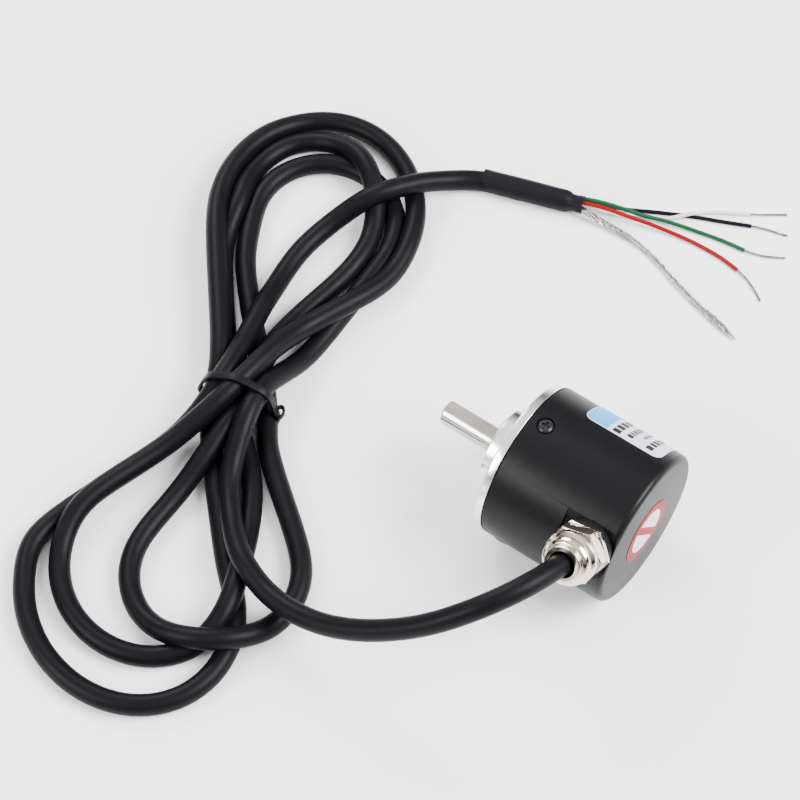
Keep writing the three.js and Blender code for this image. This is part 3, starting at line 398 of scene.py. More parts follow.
FINISHES = {
    "turned_aluminium": dict(colour=(0.92, 0.92, 0.94), roughness=0.2, metallic=1.0, tint=0.03, grain=9000,
                             bump=0.006, turned=True),
    "black_satin": dict(colour=(0.0032, 0.0032, 0.0038), roughness=0.36, spread=0.05, mottle=60, grain=1800,
                        bump=0.012, specular=0.12),
    "black_steel": dict(colour=(0.014, 0.014, 0.017), roughness=0.34, metallic=0.6, mottle=900, bump=0.01),
    "ground_steel": dict(colour=(0.58, 0.555, 0.53), roughness=0.2, metallic=1.0, spread=0.1, tint=0.05,
                         grain=7000, bump=0.008, turned=True),
    "milled_flat": dict(colour=(0.4, 0.355, 0.32), roughness=0.36, metallic=1.0, spread=0.1, mottle=500,
                        grain=5000, bump=0.01),
    "bearing_steel": dict(colour=(0.7, 0.71, 0.72), roughness=0.15, metallic=1.0, turned=True, grain=9000,
                          bump=0.004),
    "nickel": dict(colour=(0.68, 0.6, 0.51), roughness=0.1, metallic=1.0, spread=0.05, mottle=300,
                   tint=0.05, grain=1500, bump=0.006),
    "brass": dict(colour=(0.6, 0.45, 0.2), roughness=0.3, metallic=1.0, turned=True, grain=6000,
                  bump=0.006),
    "rubber": dict(colour=(0.004, 0.004, 0.0045), roughness=0.6, specular=0.1, mottle=400, grain=3000),
    "board": dict(colour=(0.02, 0.16, 0.06), roughness=0.35, mottle=500, coat=0.3),
    "black_plastic": dict(colour=(0.003, 0.003, 0.004), roughness=0.42, mottle=400, specular=0.09),
    "clear_resin": dict(colour=(0.5, 0.6, 0.8), roughness=0.08, spread=0.02, transmission=0.8, bump=0.002),
    "disc_steel": dict(colour=(0.5, 0.51, 0.52), roughness=0.3, metallic=1.0, turned=True, grain=5000,
                       bump=0.005),
    "glass": dict(colour=(0.85, 0.92, 0.9), roughness=0.04, spread=0.01, transmission=0.9, bump=0.001),
    "capacitor_can": dict(colour=(0.6, 0.61, 0.62), roughness=0.3, metallic=1.0, bump=0.008),
    "connector_plastic": dict(colour=(0.8, 0.77, 0.68), roughness=0.45, bump=0.015),
    "label_paper": dict(colour=(0.55, 0.55, 0.66), roughness=0.38, tint=0.04, mottle=300, grain=4000,
                        bump=0.006),
    "label_blue": dict(colour=(0.02, 0.28, 0.62), roughness=0.4, specular=0.3, tint=0.05, mottle=300,
                       grain=4000, bump=0.006),
    "label_ink": dict(colour=(0.006, 0.006, 0.008), roughness=0.45, mottle=900, tint=0.3, bump=0.004,
                      specular=0.12),
    "sticker_red": dict(colour=(0.22, 0.001, 0.003), roughness=0.42, specular=0.12, tint=0.06, mottle=300,
                        grain=4000, bump=0.005),
    "sticker_white": dict(colour=(0.62, 0.61, 0.65), roughness=0.36, tint=0.03, mottle=300, grain=4000,
                          bump=0.005),
    "cord_sheath": dict(colour=(0.003, 0.0028, 0.004), roughness=0.44, spread=0.06, mottle=220, tint=0.2,
                        grain=2600, bump=0.03, specular=0.075),
    "sleeve_rubber": dict(colour=(0.0042, 0.0042, 0.006), roughness=0.48, spread=0.06, mottle=350, tint=0.2,
                          grain=3400, bump=0.03, specular=0.08),
    "red_sheath": dict(colour=(0.2, 0.0004, 0.0008), roughness=0.4, specular=0.1, tint=0.1, mottle=500,
                       bump=0.01),
    "green_sheath": dict(colour=(0.001, 0.055, 0.02), roughness=0.4, tint=0.1, mottle=500, bump=0.01,
                         specular=0.2),
    "black_sheath": dict(colour=(0.003, 0.003, 0.006), roughness=0.38, tint=0.1, mottle=500, bump=0.01,
                         specular=0.1),
    "white_sheath": dict(colour=(0.62, 0.62, 0.63), roughness=0.4, specular=0.25, tint=0.03, mottle=500,
                         bump=0.01),
    "tinned_copper": dict(colour=(0.4, 0.385, 0.355), roughness=0.25, metallic=1.0, mottle=2500, tint=0.15,
                          grain=6000, bump=0.01),
    "bare_strand": dict(colour=(0.2, 0.19, 0.175), roughness=0.28, metallic=1.0, mottle=2500, tint=0.25,
                        grain=6000, bump=0.01),
}
MATERIALS = {name: finish_material(name, **finish) for name, finish in FINISHES.items()}


# ------------------------------------------------------------------ shapes
def add_object(name, data, material, body=HOUSING):
    piece = bpy.data.objects.new(name, data)
    bpy.context.scene.collection.objects.link(piece)
    if not data.materials:
        data.materials.append(MATERIALS[material])
    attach(piece, body)
    return piece


def mesh_from(name, bm, smooth_angle=32):
    bmesh.ops.remove_doubles(bm, verts=bm.verts, dist=1e-7)
    bmesh.ops.recalc_face_normals(bm, faces=bm.faces)
    mesh = bpy.data.meshes.new(name)
    bm.to_mesh(mesh)
    bm.free()
    mesh.shade_smooth()
    mesh.set_sharp_from_angle(angle=math.radians(smooth_angle))
    return mesh


def rounded(outline, radius, steps=5):
    """The closed outline with each corner cut back to an arc of the radius, or of what its sides leave."""
    corners = [Vector(point) for point in outline]
    result = []
    for before, corner, after in zip(corners[-1:] + corners[:-1], corners, corners[1:] + corners[:1]):
        to_before, to_after = before - corner, after - corner
        reach = min(radius, to_before.length * 0.45, to_after.length * 0.45)
        if abs(corner.y) < 1e-9:
            result.append(corner)
            continue
        start = corner + to_before.normalized() * reach
        end = corner + to_after.normalized() * reach
        for t in np.linspace(0, 1, steps):
            result.append(start * (1 - t) ** 2 + corner * 2 * t * (1 - t) + end * t**2)
    return result


def in_mm(points):
    """Points given in millimetres, in metres."""
    return [tuple(value * MM for value in point) for point in points]


def lathe(outline, segments=144):
    """bmesh of a closed (along, radius) outline turned about the X axis."""
    bm = bmesh.new()
    angles = [2 * math.pi * i / segments for i in range(segments)]
    rings = []
    for along, radius in outline:
        if radius < 1e-9:
            rings.append([bm.verts.new((along, 0, 0))] * segments)
        else:
            rings.append([bm.verts.new((along, radius * math.cos(a), radius * math.sin(a))) for a in angles])
    for ring, following in zip(rings, rings[1:] + rings[:1]):
        for i in range(segments):
            j = (i + 1) % segments
            corners = list(dict.fromkeys((ring[i], ring[j], following[j], following[i])))
            if len(corners) > 2:
                bm.faces.new(corners)
    return bm


def prism(corners, low, high):
    """bmesh of a polygon in Y and Z, drawn out along X."""
    bm = bmesh.new()
    rings = [[bm.verts.new((x, y, z)) for y, z in corners] for x in (low, high)]
    bm.faces.new(rings[0])
    bm.faces.new(rings[1])
    for i in range(len(corners)):
        j = (i + 1) % len(corners)
        bm.faces.new((rings[0][i], rings[0][j], rings[1][j], rings[1][i]))
    return bm


def regular_polygon(sides, radius, turn):
    angles = [turn + 2 * math.pi * i / sides for i in range(sides)]
    return [(radius * math.cos(a), radius * math.sin(a)) for a in angles]


def rectangle(width, height, z=0.0):
    corners = ((-1, -1), (1, -1), (1, 1), (-1, 1))
    return [(a * width / 2, z + b * height / 2) for a, b in corners]


def carve(bm, tools, operation="DIFFERENCE"):
    """bmesh after boolean cuts, or intersections, with other bmeshes."""
    solids = []
    for number, source in enumerate([bm, *tools]):
        bmesh.ops.recalc_face_normals(source, faces=source.faces)
        mesh = bpy.data.meshes.new(f"carving_{number}")
        source.to_mesh(mesh)
        source.free()
        solids.append(bpy.data.objects.new(f"carving_{number}", mesh))
        bpy.context.scene.collection.objects.link(solids[-1])
    blank, *cutters = solids
    for cutter in cutters:
        boolean = blank.modifiers.new("cut", "BOOLEAN")
        boolean.operation = operation
        boolean.object = cutter
        boolean.solver = "EXACT"
    bpy.context.view_layer.update()
    evaluated = blank.evaluated_get(bpy.context.evaluated_depsgraph_get())
    result = bmesh.new()
    result.from_mesh(evaluated.to_mesh())
    for piece in solids:
        mesh = piece.data
        bpy.data.objects.remove(piece)
        bpy.data.meshes.remove(mesh)
    return result


def transform(bm, matrix):
    bmesh.ops.transform(bm, matrix=matrix, verts=bm.verts)
    return bm


ON_AXIS = Matrix.Translation((0, 0, AXIS_Z))
X_TO_Z = Matrix.Rotation(-math.pi / 2, 4, "Y")


def outward(clock, x):
    """Matrix that takes a shape built along X to point out from the shaft axis at a clock angle."""
    turn = Matrix.Rotation(math.radians(90 - clock), 4, "X")
    return ON_AXIS @ Matrix.Translation((x, 0, 0)) @ turn @ X_TO_Z


def along_axis(clock, radius):
    """Matrix that moves a shape built along X to a clock angle and radius, still along X."""
    return ON_AXIS @ Matrix.Rotation(math.radians(90 - clock), 4, "X") @ Matrix.Translation((0, 0, radius))


def soften(piece, width):
    """Rounds the piece's sharp edges."""
    bevel = piece.modifiers.new("rounded_edges", "BEVEL")
    bevel.width = width
    bevel.segments = 2
    bevel.limit_method = "ANGLE"
    bevel.angle_limit = math.radians(35)
    bevel.harden_normals = True
    return piece


# ------------------------------------------------------------------ body
def mounting_flange():
    bore, pocket = 4.2 * MM, 6.65 * MM
    spigot = 17.7 * MM
    outline = rounded([
        (BOSS_X, bore), (BOSS_X, BOSS_RADIUS - 0.5 * MM), (BOSS_X + 0.5 * MM, BOSS_RADIUS),
        (FLANGE_X - 0.5 * MM, BOSS_RADIUS), (FLANGE_X - 0.5 * MM, BOSS_RADIUS - 0.3 * MM),
        (FLANGE_X, BOSS_RADIUS - 0.3 * MM), (FLANGE_X, BODY_RADIUS - 0.35 * MM),
        (FLANGE_X + 0.35 * MM, BODY_RADIUS), (COVER_X, BODY_RADIUS), (COVER_X, spigot),
        (SPIGOT_END, spigot), (SPIGOT_END, pocket), (BOSS_X + 0.8 * MM, pocket),
        (BOSS_X + 0.8 * MM, bore),
    ], 0.12 * MM)
    body = transform(lathe(outline), ON_AXIS)
    drill = in_mm([(-1, 0), (-1, 1.9), (0, 1.9), (0.4, 1.45), (4.8, 1.45), (5.6, 0)])
    holes = []
    for i, clock in enumerate(MOUNT_CLOCKS):
        hole = transform(lathe(drill, 40), Matrix.Translation((FLANGE_X, 0, 0)))
        holes.append(transform(hole, along_axis(clock, MOUNT_CIRCLES[i % 2])))
    piece = add_object("turned_flange", mesh_from("turned_flange", carve(body, holes)), "turned_aluminium")
    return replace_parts(piece, "mounting_flange")


def shaft():
    tip, end = SHAFT_LOW.x, SHAFT_HIGH.x
    outline = rounded([
        (tip, 0), (tip, SHAFT_RADIUS - 0.45 * MM), (tip + 0.45 * MM, SHAFT_RADIUS),
        (end - 0.4 * MM, SHAFT_RADIUS), (end, SHAFT_RADIUS - 0.4 * MM), (end, 0),
    ], 0.1 * MM)
    flat_height, flat_length, flat_clock = 2.5 * MM, 14 * MM, 97
    side = 8 * MM
    tool = prism(rectangle(side, side, z=flat_height + side / 2), tip - side, tip + flat_length)
    tool = transform(tool, ON_AXIS @ Matrix.Rotation(math.radians(90 - flat_clock), 4, "X"))
    mesh = mesh_from("ground_shaft", carve(transform(lathe(outline, 96), ON_AXIS), [tool]))
    mesh.materials.append(MATERIALS["ground_steel"])
    mesh.materials.append(MATERIALS["milled_flat"])
    up = Vector((0, -math.cos(math.radians(flat_clock)), math.sin(math.radians(flat_clock))))
    for face in mesh.polygons:
        on_flat = face.normal.dot(up) > 0.999 and face.center.x < tip + flat_length
        face.material_index = int(on_flat and face.area > 1e-6)
    piece = add_object("ground_shaft", mesh, "ground_steel", ROTOR)
    return soften(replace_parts(piece, "shaft"), 0.08 * MM)


def rear_cover():
    """The can, cut for the screws and the gland, and the pad that closes it under the gland's flat."""
    wall, edge = 1 * MM, 1.5 * MM
    inner = BODY_RADIUS - wall
    front = COVER_LOW.x
    arc = [(REAR_X - edge + edge * math.sin(a), BODY_RADIUS - edge + edge * math.cos(a))
           for a in np.radians(np.linspace(0, 90, 13))]
    outline = [
        (front, inner), (front, BODY_RADIUS - 0.15 * MM), (front + 0.15 * MM, BODY_RADIUS), *arc,
        (REAR_X, 0), (REAR_X - wall, 0), (REAR_X - wall, inner),
    ]
    body = transform(lathe(outline, 192), ON_AXIS)
    at_gland = outward(GLAND_CLOCK, GLAND_X) @ Matrix.Rotation(math.pi / 2, 4, "X")
    pocket = prism(rectangle(POCKET_LENGTH, POCKET_WIDTH), POCKET_FLOOR, POCKET_FLOOR + 6 * MM)
    seat = [(SCREW_SEAT, 0), (SCREW_SEAT, 2.05 * MM), *in_mm([(18.8, 2.15), (21, 2.6), (21, 0)])]
    cuts = [transform(lathe(seat, 48), outward(clock, SCREW_X)) for clock in SCREW_CLOCKS]
    cuts.append(transform(pocket, at_gland))
    piece = add_object("satin_cover", mesh_from("satin_cover", carve(body, cuts)), "black_satin")
    pad_size = (POCKET_LENGTH + 0.6 * MM, POCKET_WIDTH + 0.6 * MM)
    pad = prism(rectangle(*pad_size), POCKET_FLOOR - 1.6 * MM, POCKET_FLOOR)
    pad_front, pad_rear, pad_radius = GLAND_X - 9 * MM, REAR_X - 0.5 * MM, inner + 0.5 * MM
    round_limit = lathe([(pad_front, 0), (pad_front, pad_radius), (pad_rear, pad_radius), (pad_rear, 0)], 96)
    pad = carve(transform(pad, at_gland), [transform(round_limit, ON_AXIS)], "INTERSECT")
    add_object("gland_pad", mesh_from("gland_pad", pad), "black_satin")
    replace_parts(piece, "rear_cover")


def cover_screws():
    seat, top = SCREW_SEAT + 0.03 * MM, 19.2 * MM
    for number, clock in enumerate(SCREW_CLOCKS, 1):
        head = lathe(rounded([
            (seat - 1 * MM, 0), (seat - 1 * MM, 1 * MM), (seat, 1 * MM), (seat, 1.8 * MM),
            (seat + 0.35 * MM, 1.8 * MM), (top, 1.3 * MM), (top, 0),
        ], 0.15 * MM), 64)
        recess = [prism(rectangle(*size), top - 0.45 * MM, top + MM)
                  for size in ((0.42 * MM, 2.1 * MM), (2.1 * MM, 0.42 * MM), (0.9 * MM, 0.9 * MM))]
        head = transform(carve(head, recess), outward(clock, SCREW_X))
        name = f"cross_head_screw_{number}"
        piece = add_object(name, mesh_from(name, head), "black_steel")
        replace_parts(piece, f"cover_screw_{number}")
        soften(piece, 0.04 * MM)


def wrapped_plate(x_range, clocks, height, thickness, front_corner, rear_corner):
    """bmesh of a rounded rectangle wrapped on the body, height above its surface."""
    radius = BODY_RADIUS + height
    (x0, x1), (c0, c1) = x_range, clocks
    half_x, half_c = (x1 - x0) / 2, math.radians(c1 - c0) / 2 * radius
    outline = []
    for quarter, (a, b) in enumerate(((1, 1), (-1, 1), (-1, -1), (1, -1))):
        corner = rear_corner if a > 0 else front_corner
        for t in np.radians(np.linspace(0, 90, 7) + 90 * quarter):
            outline.append((a * (half_x - corner) + corner * math.cos(t),
                            b * (half_c - corner) + corner * math.sin(t)))
    bm = bmesh.new()
    bm.faces.new([bm.verts.new((x, y, 0)) for x, y in outline])
    strips = max(2, math.ceil(c1 - c0) // 2)
    for y in np.linspace(-half_c, half_c, strips + 1)[1:-1]:
        geometry = bm.verts[:] + bm.edges[:] + bm.faces[:]
        bmesh.ops.bisect_plane(bm, geom=geometry, plane_co=(0, y, 0), plane_no=(0, 1, 0))
    top = bmesh.ops.extrude_face_region(bm, geom=bm.faces[:])
    for vert in (v for v in top["geom"] if isinstance(v, bmesh.types.BMVert)):
        vert.co.z = thickness
    middle = math.radians((c0 + c1) / 2)
    for vert in bm.verts:
        clock = middle + vert.co.y / radius
        out = radius + vert.co.z
        vert.co = (x0 + half_x + vert.co.x, -out * math.cos(clock), AXIS_Z + out * math.sin(clock))
    return bm


def name_label():
    """Plain label: a blue band at its front end, and rows of plain blocks where print would be."""
    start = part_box("name_label")[0].x
    first, last = LABEL_CLOCKS
    corner, ink_height = 2 * MM, 0.13 * MM
    paper = wrapped_plate((start, start + LABEL_LENGTH), LABEL_CLOCKS, 0.05 * MM, 0.08 * MM, corner, corner)
    label = add_object("label_sheet", mesh_from("label_sheet", paper), "label_paper")
    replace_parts(label, "name_label")
    band = wrapped_plate((start + 0.2 * MM, start + 6.1 * MM), (first + 0.7, last - 0.7), ink_height,
                         0.012 * MM, corner - 0.2 * MM, 0.1 * MM)
    add_object("label_band", mesh_from("label_band", band), "label_blue")
    rng = random.Random(5)
    block_mesh = bpy.data.meshes.new("label_block")
    blocks = bmesh.new()
    for middle, height, row_start, row_end in LABEL_ROWS:
        clock = first + row_start
        while clock < first + row_end:
            reach = height * rng.uniform(1.6, 3.0)
            x_range = (start + (middle - height / 2) * MM, start + (middle + height / 2) * MM)
            block = wrapped_plate(x_range, (clock, clock + reach), ink_height, 0.01 * MM, 0.1 * MM, 0.1 * MM)
            block.to_mesh(block_mesh)
            block.free()
            blocks.from_mesh(block_mesh)
            clock += reach + height * 0.75
    bpy.data.meshes.remove(block_mesh)
    add_object("label_print", mesh_from("label_print", blocks), "label_ink")


def rear_sticker():
    """Red disc with two plain white half-round windows."""
    outline = [(REAR_X, 0), (REAR_X, STICKER_RADIUS), (STICKER_TOP, STICKER_RADIUS), (STICKER_TOP, 0)]
    sheet = lathe(rounded(outline, 0.03 * MM), 96)
    disc = add_object("red_sticker", mesh_from("red_sticker", transform(sheet, ON_AXIS)), "sticker_red")
    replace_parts(disc, "rear_sticker")
    window_radius, bar = 5.7 * MM, 1.05 * MM
    lean = math.asin(bar / window_radius)
    bearing = math.radians(36.5)
    for number, side in enumerate((0, math.pi), 1):
        arc = np.linspace(lean - math.pi / 2, math.pi / 2 - lean, 25) + bearing + side
        corners = [(window_radius * math.cos(a), window_radius * math.sin(a)) for a in arc]
        window = prism(corners, STICKER_TOP, STICKER_TOP + 0.015 * MM)
        name = f"sticker_window_{number}"
        add_object(name, mesh_from(name, transform(window, ON_AXIS)), "sticker_white")


# ------------------------------------------------------------------ cable gland
def nut(radius, low, high, turn, chamfer, bore):
    """Hexagon nut, turned by some degrees, with its corners cut back at both ends."""
    blank = prism(regular_polygon(6, radius, math.radians(turn)), low, high)
    cone = lathe([(low, 0), (low, radius - chamfer), (low + chamfer * 0.55, radius + 0.05 * MM),
                  (high - chamfer * 0.55, radius + 0.05 * MM), (high, radius - chamfer), (high, 0)], 120)
    hole = lathe([(low - MM, 0), (low - MM, bore), (high + MM, bore), (high + MM, 0)], 72)
    return carve(carve(blank, [cone], "INTERSECT"), [hole])


def gland():
    """The gland's pieces, from the washer on the flat out to the cap. Heights are over the shaft axis."""
    place = outward(GLAND_CLOCK, GLAND_X)
    washer = rounded(in_mm([(18.05, 4.2), (18.05, 6.4), (20.2, 6.4), (20.2, 4.2)]), 0.5 * MM)
    locknut = nut(7.2 * MM, 20.4 * MM, 21.5 * MM, turn=-22, chamfer=0.45 * MM, bore=4.3 * MM)
    body = nut(7 * MM, 21.7 * MM, 24.7 * MM, turn=-15, chamfer=0.75 * MM, bore=4 * MM)
    thread = [(13.5, 2.85), (13.5, 4)]
    for turn in range(8):
        thread += [(13.9 + turn, 4), (14.4 + turn, 3.65), (14.9 + turn, 4)]
    thread += [(27.6, 4), (27.6, 2.85)]
    cap = rounded([
        *in_mm([(24.9, 4.9), (24.9, 5.9), (25.2, 6.3), (26.3, 6.3), (26.7, 5.85), (27.0, 5.4), (27.3, 5.4),
                (27.5, 5.85), (28.2, 5.85), (28.9, 5.45), (29.3, 4.8), (29.3, 4.35), (29.7, 4.35),
                (29.9, 4.5), (30.1, 4.45)]),
        (GLAND_MOUTH, 4.25 * MM), (GLAND_MOUTH, 3.15 * MM),
        *in_mm([(30.05, 3.0), (28.6, 3.0), (28.6, 4.9)]),
    ], 0.12 * MM)
    seal = rounded(in_mm([(24.1, 2.6), (24.1, 3.8), (28.4, 3.8), (28.9, 2.6)]), 0.2 * MM)
    shapes = {
        "gland_sealing_washer": (lathe(washer, 96), "rubber", ["gland_washer"]),
        "gland_thin_nut": (locknut, "nickel", ["gland_locknut"]),
        "gland_hexagon": (body, "nickel", ["gland_body"]),
        "gland_threaded_tube": (lathe(in_mm(thread), 72), "nickel", []),
        "gland_rubber_seal": (lathe(seal, 72), "rubber", ["gland_seal"]),
        "gland_cap_nut": (lathe(cap, 120), "nickel", ["gland_cap"]),
    }
    pieces = []
    for name, (bm, material, nodes) in shapes.items():
        piece = add_object(name, mesh_from(name, transform(bm, place)), material)
        if nodes:
            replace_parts(piece, *nodes)
        if "nut" in name or "hexagon" in name:
            soften(piece, 0.07 * MM)
        pieces.append(piece)
    return pieces


# ------------------------------------------------------------------ cord, tie, sleeve and wires
def cord_curve(name, path, radius, material):
    curve = bpy.data.curves.new(name, "CURVE")
    curve.dimensions = "3D"
    curve.bevel_depth = radius
    curve.bevel_resolution = 8
    curve.use_fill_caps = True
    spline = curve.splines.new("POLY")
    spline.points.add(len(path) - 1)
    for point, place in zip(spline.points, path):
        point.co = (*place, 1)
    return add_object(name, curve, material)


def frames_along(path):
    """Two normals at each point of a path, with the least twist from point to point."""
    tangents = np.gradient(path, axis=0)
    tangents /= np.linalg.norm(tangents, axis=1)[:, None]
    normal = np.cross(tangents[0], (0.0, 0.0, 1.0))
    normals = []
    for tangent in tangents:
        normal = normal - tangent * normal.dot(tangent)
        normal /= np.linalg.norm(normal)
        normals.append(normal)
    normals = np.array(normals)
    return normals, np.cross(tangents, normals)


def tube_faces(bm, rings, closed=False):
    following_rings = rings[1:] + rings[:1] if closed else rings[1:]
    for ring, following in zip(rings, following_rings):
        for i in range(len(ring)):
            j = (i + 1) % len(ring)
            bm.faces.new((ring[i], ring[j], following[j], following[i]))
    if not closed:
        bm.faces.new(rings[0])
        bm.faces.new(rings[-1])


def add_tube(bm, path, radius, sides):
    """Adds a closed tube along a path."""
    first, second = frames_along(path)
    angles = np.linspace(0, 2 * math.pi, sides, endpoint=False)
    rings = []
    for place, a, b in zip(path, first, second):
        rings.append([bm.verts.new(place + radius * (math.cos(t) * a + math.sin(t) * b)) for t in angles])
    tube_faces(bm, rings)


def twisted_strands(path, count, bundle, strand, pitch, rng, loose):
    """bmesh of fine strands twisted round a path, none below the floor. bundle is the bundle's radius at each
    point, and loose the part of it that a strand wanders."""
    bm = bmesh.new()
    first, second = frames_along(path)
    along = np.concatenate([[0], np.cumsum(np.linalg.norm(np.diff(path, axis=0), axis=1))])
    for number in range(count):
        phase = 2 * math.pi * number / count + rng.uniform(-0.2, 0.2)
        wobble = rng.uniform(0.6, 1.6)
        angle = phase + 2 * math.pi * along / (pitch * rng.uniform(0.92, 1.08))
        reach = bundle * (1 + loose * np.sin(wobble * along / pitch * 2 * math.pi + phase * 3))
        places = path + reach[:, None] * (np.cos(angle)[:, None] * first + np.sin(angle)[:, None] * second)
        places[:, 2] = np.maximum(places[:, 2], strand)
        add_tube(bm, places, strand, 6)
    return bm


def hull(points):
    """Convex hull of plane points, counter-clockwise."""
    ordered = sorted(set(points))

    def half(sequence):
        chain = []
        for p in sequence:
            while len(chain) > 1 and ((chain[-1][0] - chain[-2][0]) * (p[1] - chain[-2][1])
                                      - (chain[-1][1] - chain[-2][1]) * (p[0] - chain[-2][0])) <= 0:
                chain.pop()
            chain.append(p)
        return chain[:-1]

    return half(ordered) + half(ordered[::-1])


def tie_outline(path, clearance):
    """Plane outline (across, height) that a band takes round the strands at the waist."""
    across = np.array([math.cos(TIE_TURN), math.sin(TIE_TURN), 0])
    normal = np.array([-across[1], across[0], 0])
    from_waist = path - np.array([WAIST.x, WAIST.y, 0])
    offset, place = from_waist @ normal, from_waist @ across
    under_band, within_waist = 2 * MM, 12 * MM
    near = np.nonzero((np.abs(offset) < under_band) & (np.abs(place) < within_waist))[0]
    angles = np.linspace(0, 2 * math.pi, 24, endpoint=False)
    radius = CORD_RADIUS + clearance
    points = [(place[i] + radius * math.cos(a), max(path[i, 2] + radius * math.sin(a), clearance))
              for i in near for a in angles]
    return hull([(round(a, 6), round(b, 6)) for a, b in points])


def add_strip(bm, path, upright, section, closed=False):
    """Adds a strip of the section (outward, upright) along a path; outward is to the right of the path."""
    ahead, behind = np.roll(path, -1, axis=0), np.roll(path, 1, axis=0)
    if not closed:
        ahead[-1], behind[0] = path[-1], path[0]
    rings = []
    for place, tangent in zip(path, ahead - behind):
        out = Vector(tangent).cross(upright).normalized()
        rings.append([bm.verts.new(Vector(place) + out * depth + upright * side) for depth, side in section])
    tube_faces(bm, rings, closed)


def hank_tie(path):
    """Flat plastic-covered wire pulled tight round the waist, its end curled back at one side."""
    across = Vector((math.cos(TIE_TURN), math.sin(TIE_TURN), 0))
    normal = Vector((-across.y, across.x, 0))
    up = Vector((0, 0, 1))
    below_waist, curl_height = 1.4 * MM, 5.6 * MM
    centre = Vector((WAIST.x, WAIST.y, 0)) - normal * below_waist
    half_width, thick, ridge = 0.95 * MM, 0.3 * MM, 0.6 * MM
    section = rounded([
        (-thick, -half_width), (-thick, half_width), (thick, half_width), (thick, 0.45 * half_width),
        (ridge, 0.25 * half_width), (ridge, -0.25 * half_width), (thick, -0.45 * half_width),
        (thick, -half_width),
    ], 0.15 * MM, 4)
    outline = np.array(tie_outline(path, 0.65 * MM))
    band = even_steps(np.vstack([outline, outline[:1]]), 0.4 * MM, columns=2)[:-1]
    for _ in range(10):
        band = (np.roll(band, 1, axis=0) + band * 2 + np.roll(band, -1, axis=0)) / 4
    bm = bmesh.new()
    add_strip(bm, np.array([centre + across * a + up * height for a, height in band]), normal, section, True)
    edge = band[:, 0].max()
    turns = np.radians(np.linspace(150, -200, 40))
    curl = [centre + across * (edge + (0.1 + 0.9 * math.cos(turn)) * MM)
            + normal * ((0.7 + 1.4 * math.sin(turn)) * MM) + up * (curl_height - 1.1 * MM * i / len(turns))
            for i, turn in enumerate(turns)]
    add_strip(bm, np.array(curl), up, [(depth * 0.8, side * 0.8) for depth, side in section])
    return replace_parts(add_object("wire_tie", mesh_from("wire_tie", bm, 40), "black_plastic"), "hank_tie")


def end_sleeve():
    """Shrink sleeve, drawn in where the cord ends under it and flared a little at its mouth."""
    neck = 23.6 * MM
    bm = lathe([
        *in_mm([(21, 0), (0, 0), (0.0, 2.6), (0.0, 2.82), (0.6, 2.86), (3, 2.84), (8, 2.88), (13, 2.86),
                (18, 2.84), (21.4, 2.82), (22.1, 2.7), (22.6, 2.4), (23.0, 2.14), (23.6, 2.06), (24.4, 2.1),
                (24.9, 2.24), (25.5, 2.2)]),
        (SLEEVE_LENGTH, 2.34 * MM), (SLEEVE_LENGTH, 1.9 * MM),
        *in_mm([(24.5, 1.7), (21, 1.6)]),
    ], 72)
    for vert in bm.verts:
        angle = math.atan2(vert.co.z, vert.co.y)
        folds = max(0.0, 1 - abs(vert.co.x - neck) / (3.5 * MM))
        wrinkle = 0.035 * folds * math.sin(7 * angle + vert.co.x * 900)
        swell = 1 + wrinkle + 0.006 * math.sin(3 * angle + vert.co.x * 500)
        vert.co.y *= swell
        vert.co.z *= swell
    place = Matrix.Translation(SLEEVE_START) @ Matrix.Rotation(SLEEVE_BEARING, 4, "Z")
    piece = add_object("shrink_sleeve", mesh_from("shrink_sleeve", transform(bm, place), 50),
                       "sleeve_rubber")
    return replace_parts(piece, "end_sleeve")


def core_wires():
    """The four cores out of the sleeve, each with its bare strands twisted on from it."""
    start = SLEEVE_MOUTH - SLEEVE_AXIS * CORES_INSIDE
    rng = random.Random(7)
    for colour, core in CORES.items():
        inside = start + (Vector(core["sheath"][0]) - SLEEVE_MOUTH) * 0.8
        path = even_steps(catmull_rom([inside, *core["sheath"]]), 0.6 * MM)
        wire = cord_curve(f"core_{colour}", path, WIRE_RADIUS, f"{colour}_sheath")
        bare = even_steps(catmull_rom([core["sheath"][-1], *core["bare"]]), 0.25 * MM)
        splay = np.linspace(1, 1.25, len(bare))
        strands = twisted_strands(bare, 7, 0.19 * MM * splay, 0.085 * MM, 3.6 * MM, rng, loose=0.1)
        name = f"strands_{colour}"
        end = add_object(name, mesh_from(name, strands, 60), "bare_strand")
        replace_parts(wire, f"wire_{colour}")
        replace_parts(end, f"conductor_{colour}")


def shield():
    """The shield's fine wires, gathered, loosely twisted and pressed together at the end."""
    rng = random.Random(11)
    path = even_steps(catmull_rom([SLEEVE_MOUTH - SLEEVE_AXIS * SHIELD_INSIDE, *SHIELD_ROUTE]), 0.4 * MM)
    t = np.linspace(0, 1, len(path))
    pressed_end = 0.25 * np.exp(-((t - 0.88) / 0.06) ** 2)
    bundle = SHIELD_RADIUS * (0.72 + 0.22 * np.sin(9 * t) * (1 - t) + pressed_end)
    bundle *= np.clip((1.02 - t) / 0.1, 0.2, 1)
    bm = twisted_strands(path, 26, bundle, 0.1 * MM, 13 * MM, rng, loose=0.3)
    piece = add_object("shield_wires", mesh_from("shield_wires", bm, 60), "tinned_copper")
    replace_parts(piece, "shield_braid")


def cord(gland_pieces):
    path = cord_path()
    line = cord_curve("cord", path, CORD_RADIUS, "cord_sheath")
    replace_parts(line, "cord_lead", "cord_hank", "cord_tail")
    pieces = [hank_tie(path), end_sleeve(), *gland_pieces]


def finish_cad_nodes():
    """The inner pieces keep their CAD shapes and take their slot's finish."""
    for subpart in frame["record"]["subparts"]:
        node = frame["nodes"][subpart["node"]]
        if not node.hide_render:
            node.data.materials.clear()
            node.data.materials.append(MATERIALS[subpart["material_slot"]])


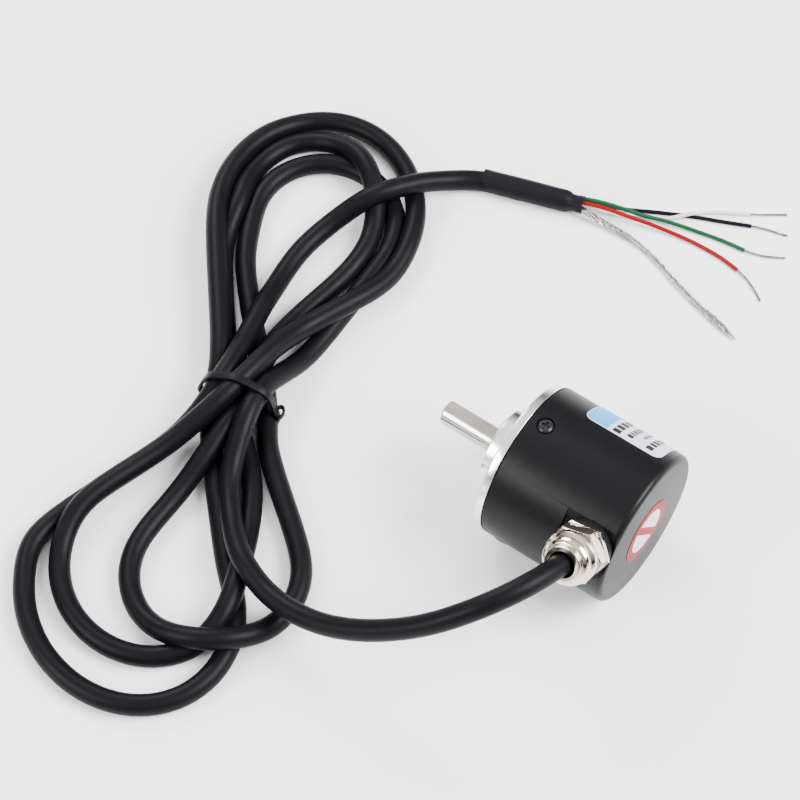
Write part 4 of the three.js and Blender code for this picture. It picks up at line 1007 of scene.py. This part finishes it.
# ------------------------------------------------------------------ stage
OBJECT_MIDDLE = Vector((-0.04, 0, 0))


def floor():
    material, nodes, _ = new_material("pale_floor")
    shader = nodes["Principled BSDF"]
    shader.inputs["Base Color"].default_value = (0.93, 0.93, 0.94, 1)
    shader.inputs["Roughness"].default_value = 0.9
    shader.inputs["Specular IOR Level"].default_value = 0.1
    bm = bmesh.new()
    bmesh.ops.create_grid(bm, x_segments=1, y_segments=1, size=4)
    mesh = bpy.data.meshes.new("floor")
    bm.to_mesh(mesh)
    bm.free()
    mesh.materials.append(material)
    plane = bpy.data.objects.new("floor", mesh)
    plane.location.z = -0.02 * MM
    bpy.context.scene.collection.objects.link(plane)


def soft_light(name, place, size, power):
    """A square light that faces the object's middle."""
    light = bpy.data.lights.new(name, "AREA")
    light.size = size
    light.energy = power
    lamp = bpy.data.objects.new(name, light)
    lamp.location = place
    lamp.rotation_mode = "QUATERNION"
    lamp.rotation_quaternion = (OBJECT_MIDDLE - Vector(place)).to_track_quat("-Z", "Y")
    bpy.context.scene.collection.objects.link(lamp)


def sky():
    """Pale at the horizon and overhead and dark between, so that metal shows both."""
    world = bpy.data.worlds.new("sky")
    world.use_nodes = True
    nodes, links = world.node_tree.nodes, world.node_tree.links
    split = nodes.new("ShaderNodeSeparateXYZ")
    links.new(nodes.new("ShaderNodeTexCoord").outputs["Generated"], split.inputs["Vector"])
    overhead = remap(nodes, links, split.outputs["Z"], 0.04, 1.5, source=(0.3, 0.9))
    horizon = remap(nodes, links, split.outputs["Z"], 1.1, 0.0, source=(0.14, 0.2))
    strength = nodes.new("ShaderNodeMath")
    wire_up(links, [
        (overhead, strength.inputs[0]),
        (horizon, strength.inputs[1]),
        (strength.outputs["Value"], nodes["Background"].inputs["Strength"]),
    ])
    nodes["Background"].inputs["Color"].default_value = (1, 1, 1, 1)
    bpy.context.scene.world = world


def studio():
    """Broad light from the right, with weaker lights from the left to fill the shadows."""
    floor()
    sky()
    soft_light("right", (0.75, 0.35, 0.85), 0.7, 46)
    soft_light("front_left", (-0.45, -0.75, 0.6), 0.5, 14)
    soft_light("back_left", (-0.9, 0.5, 0.9), 0.6, 18)


cord(gland())
core_wires()
shield()
mounting_flange()
shaft()
rear_cover()
cover_screws()
name_label()
rear_sticker()
finish_cad_nodes()
studio()
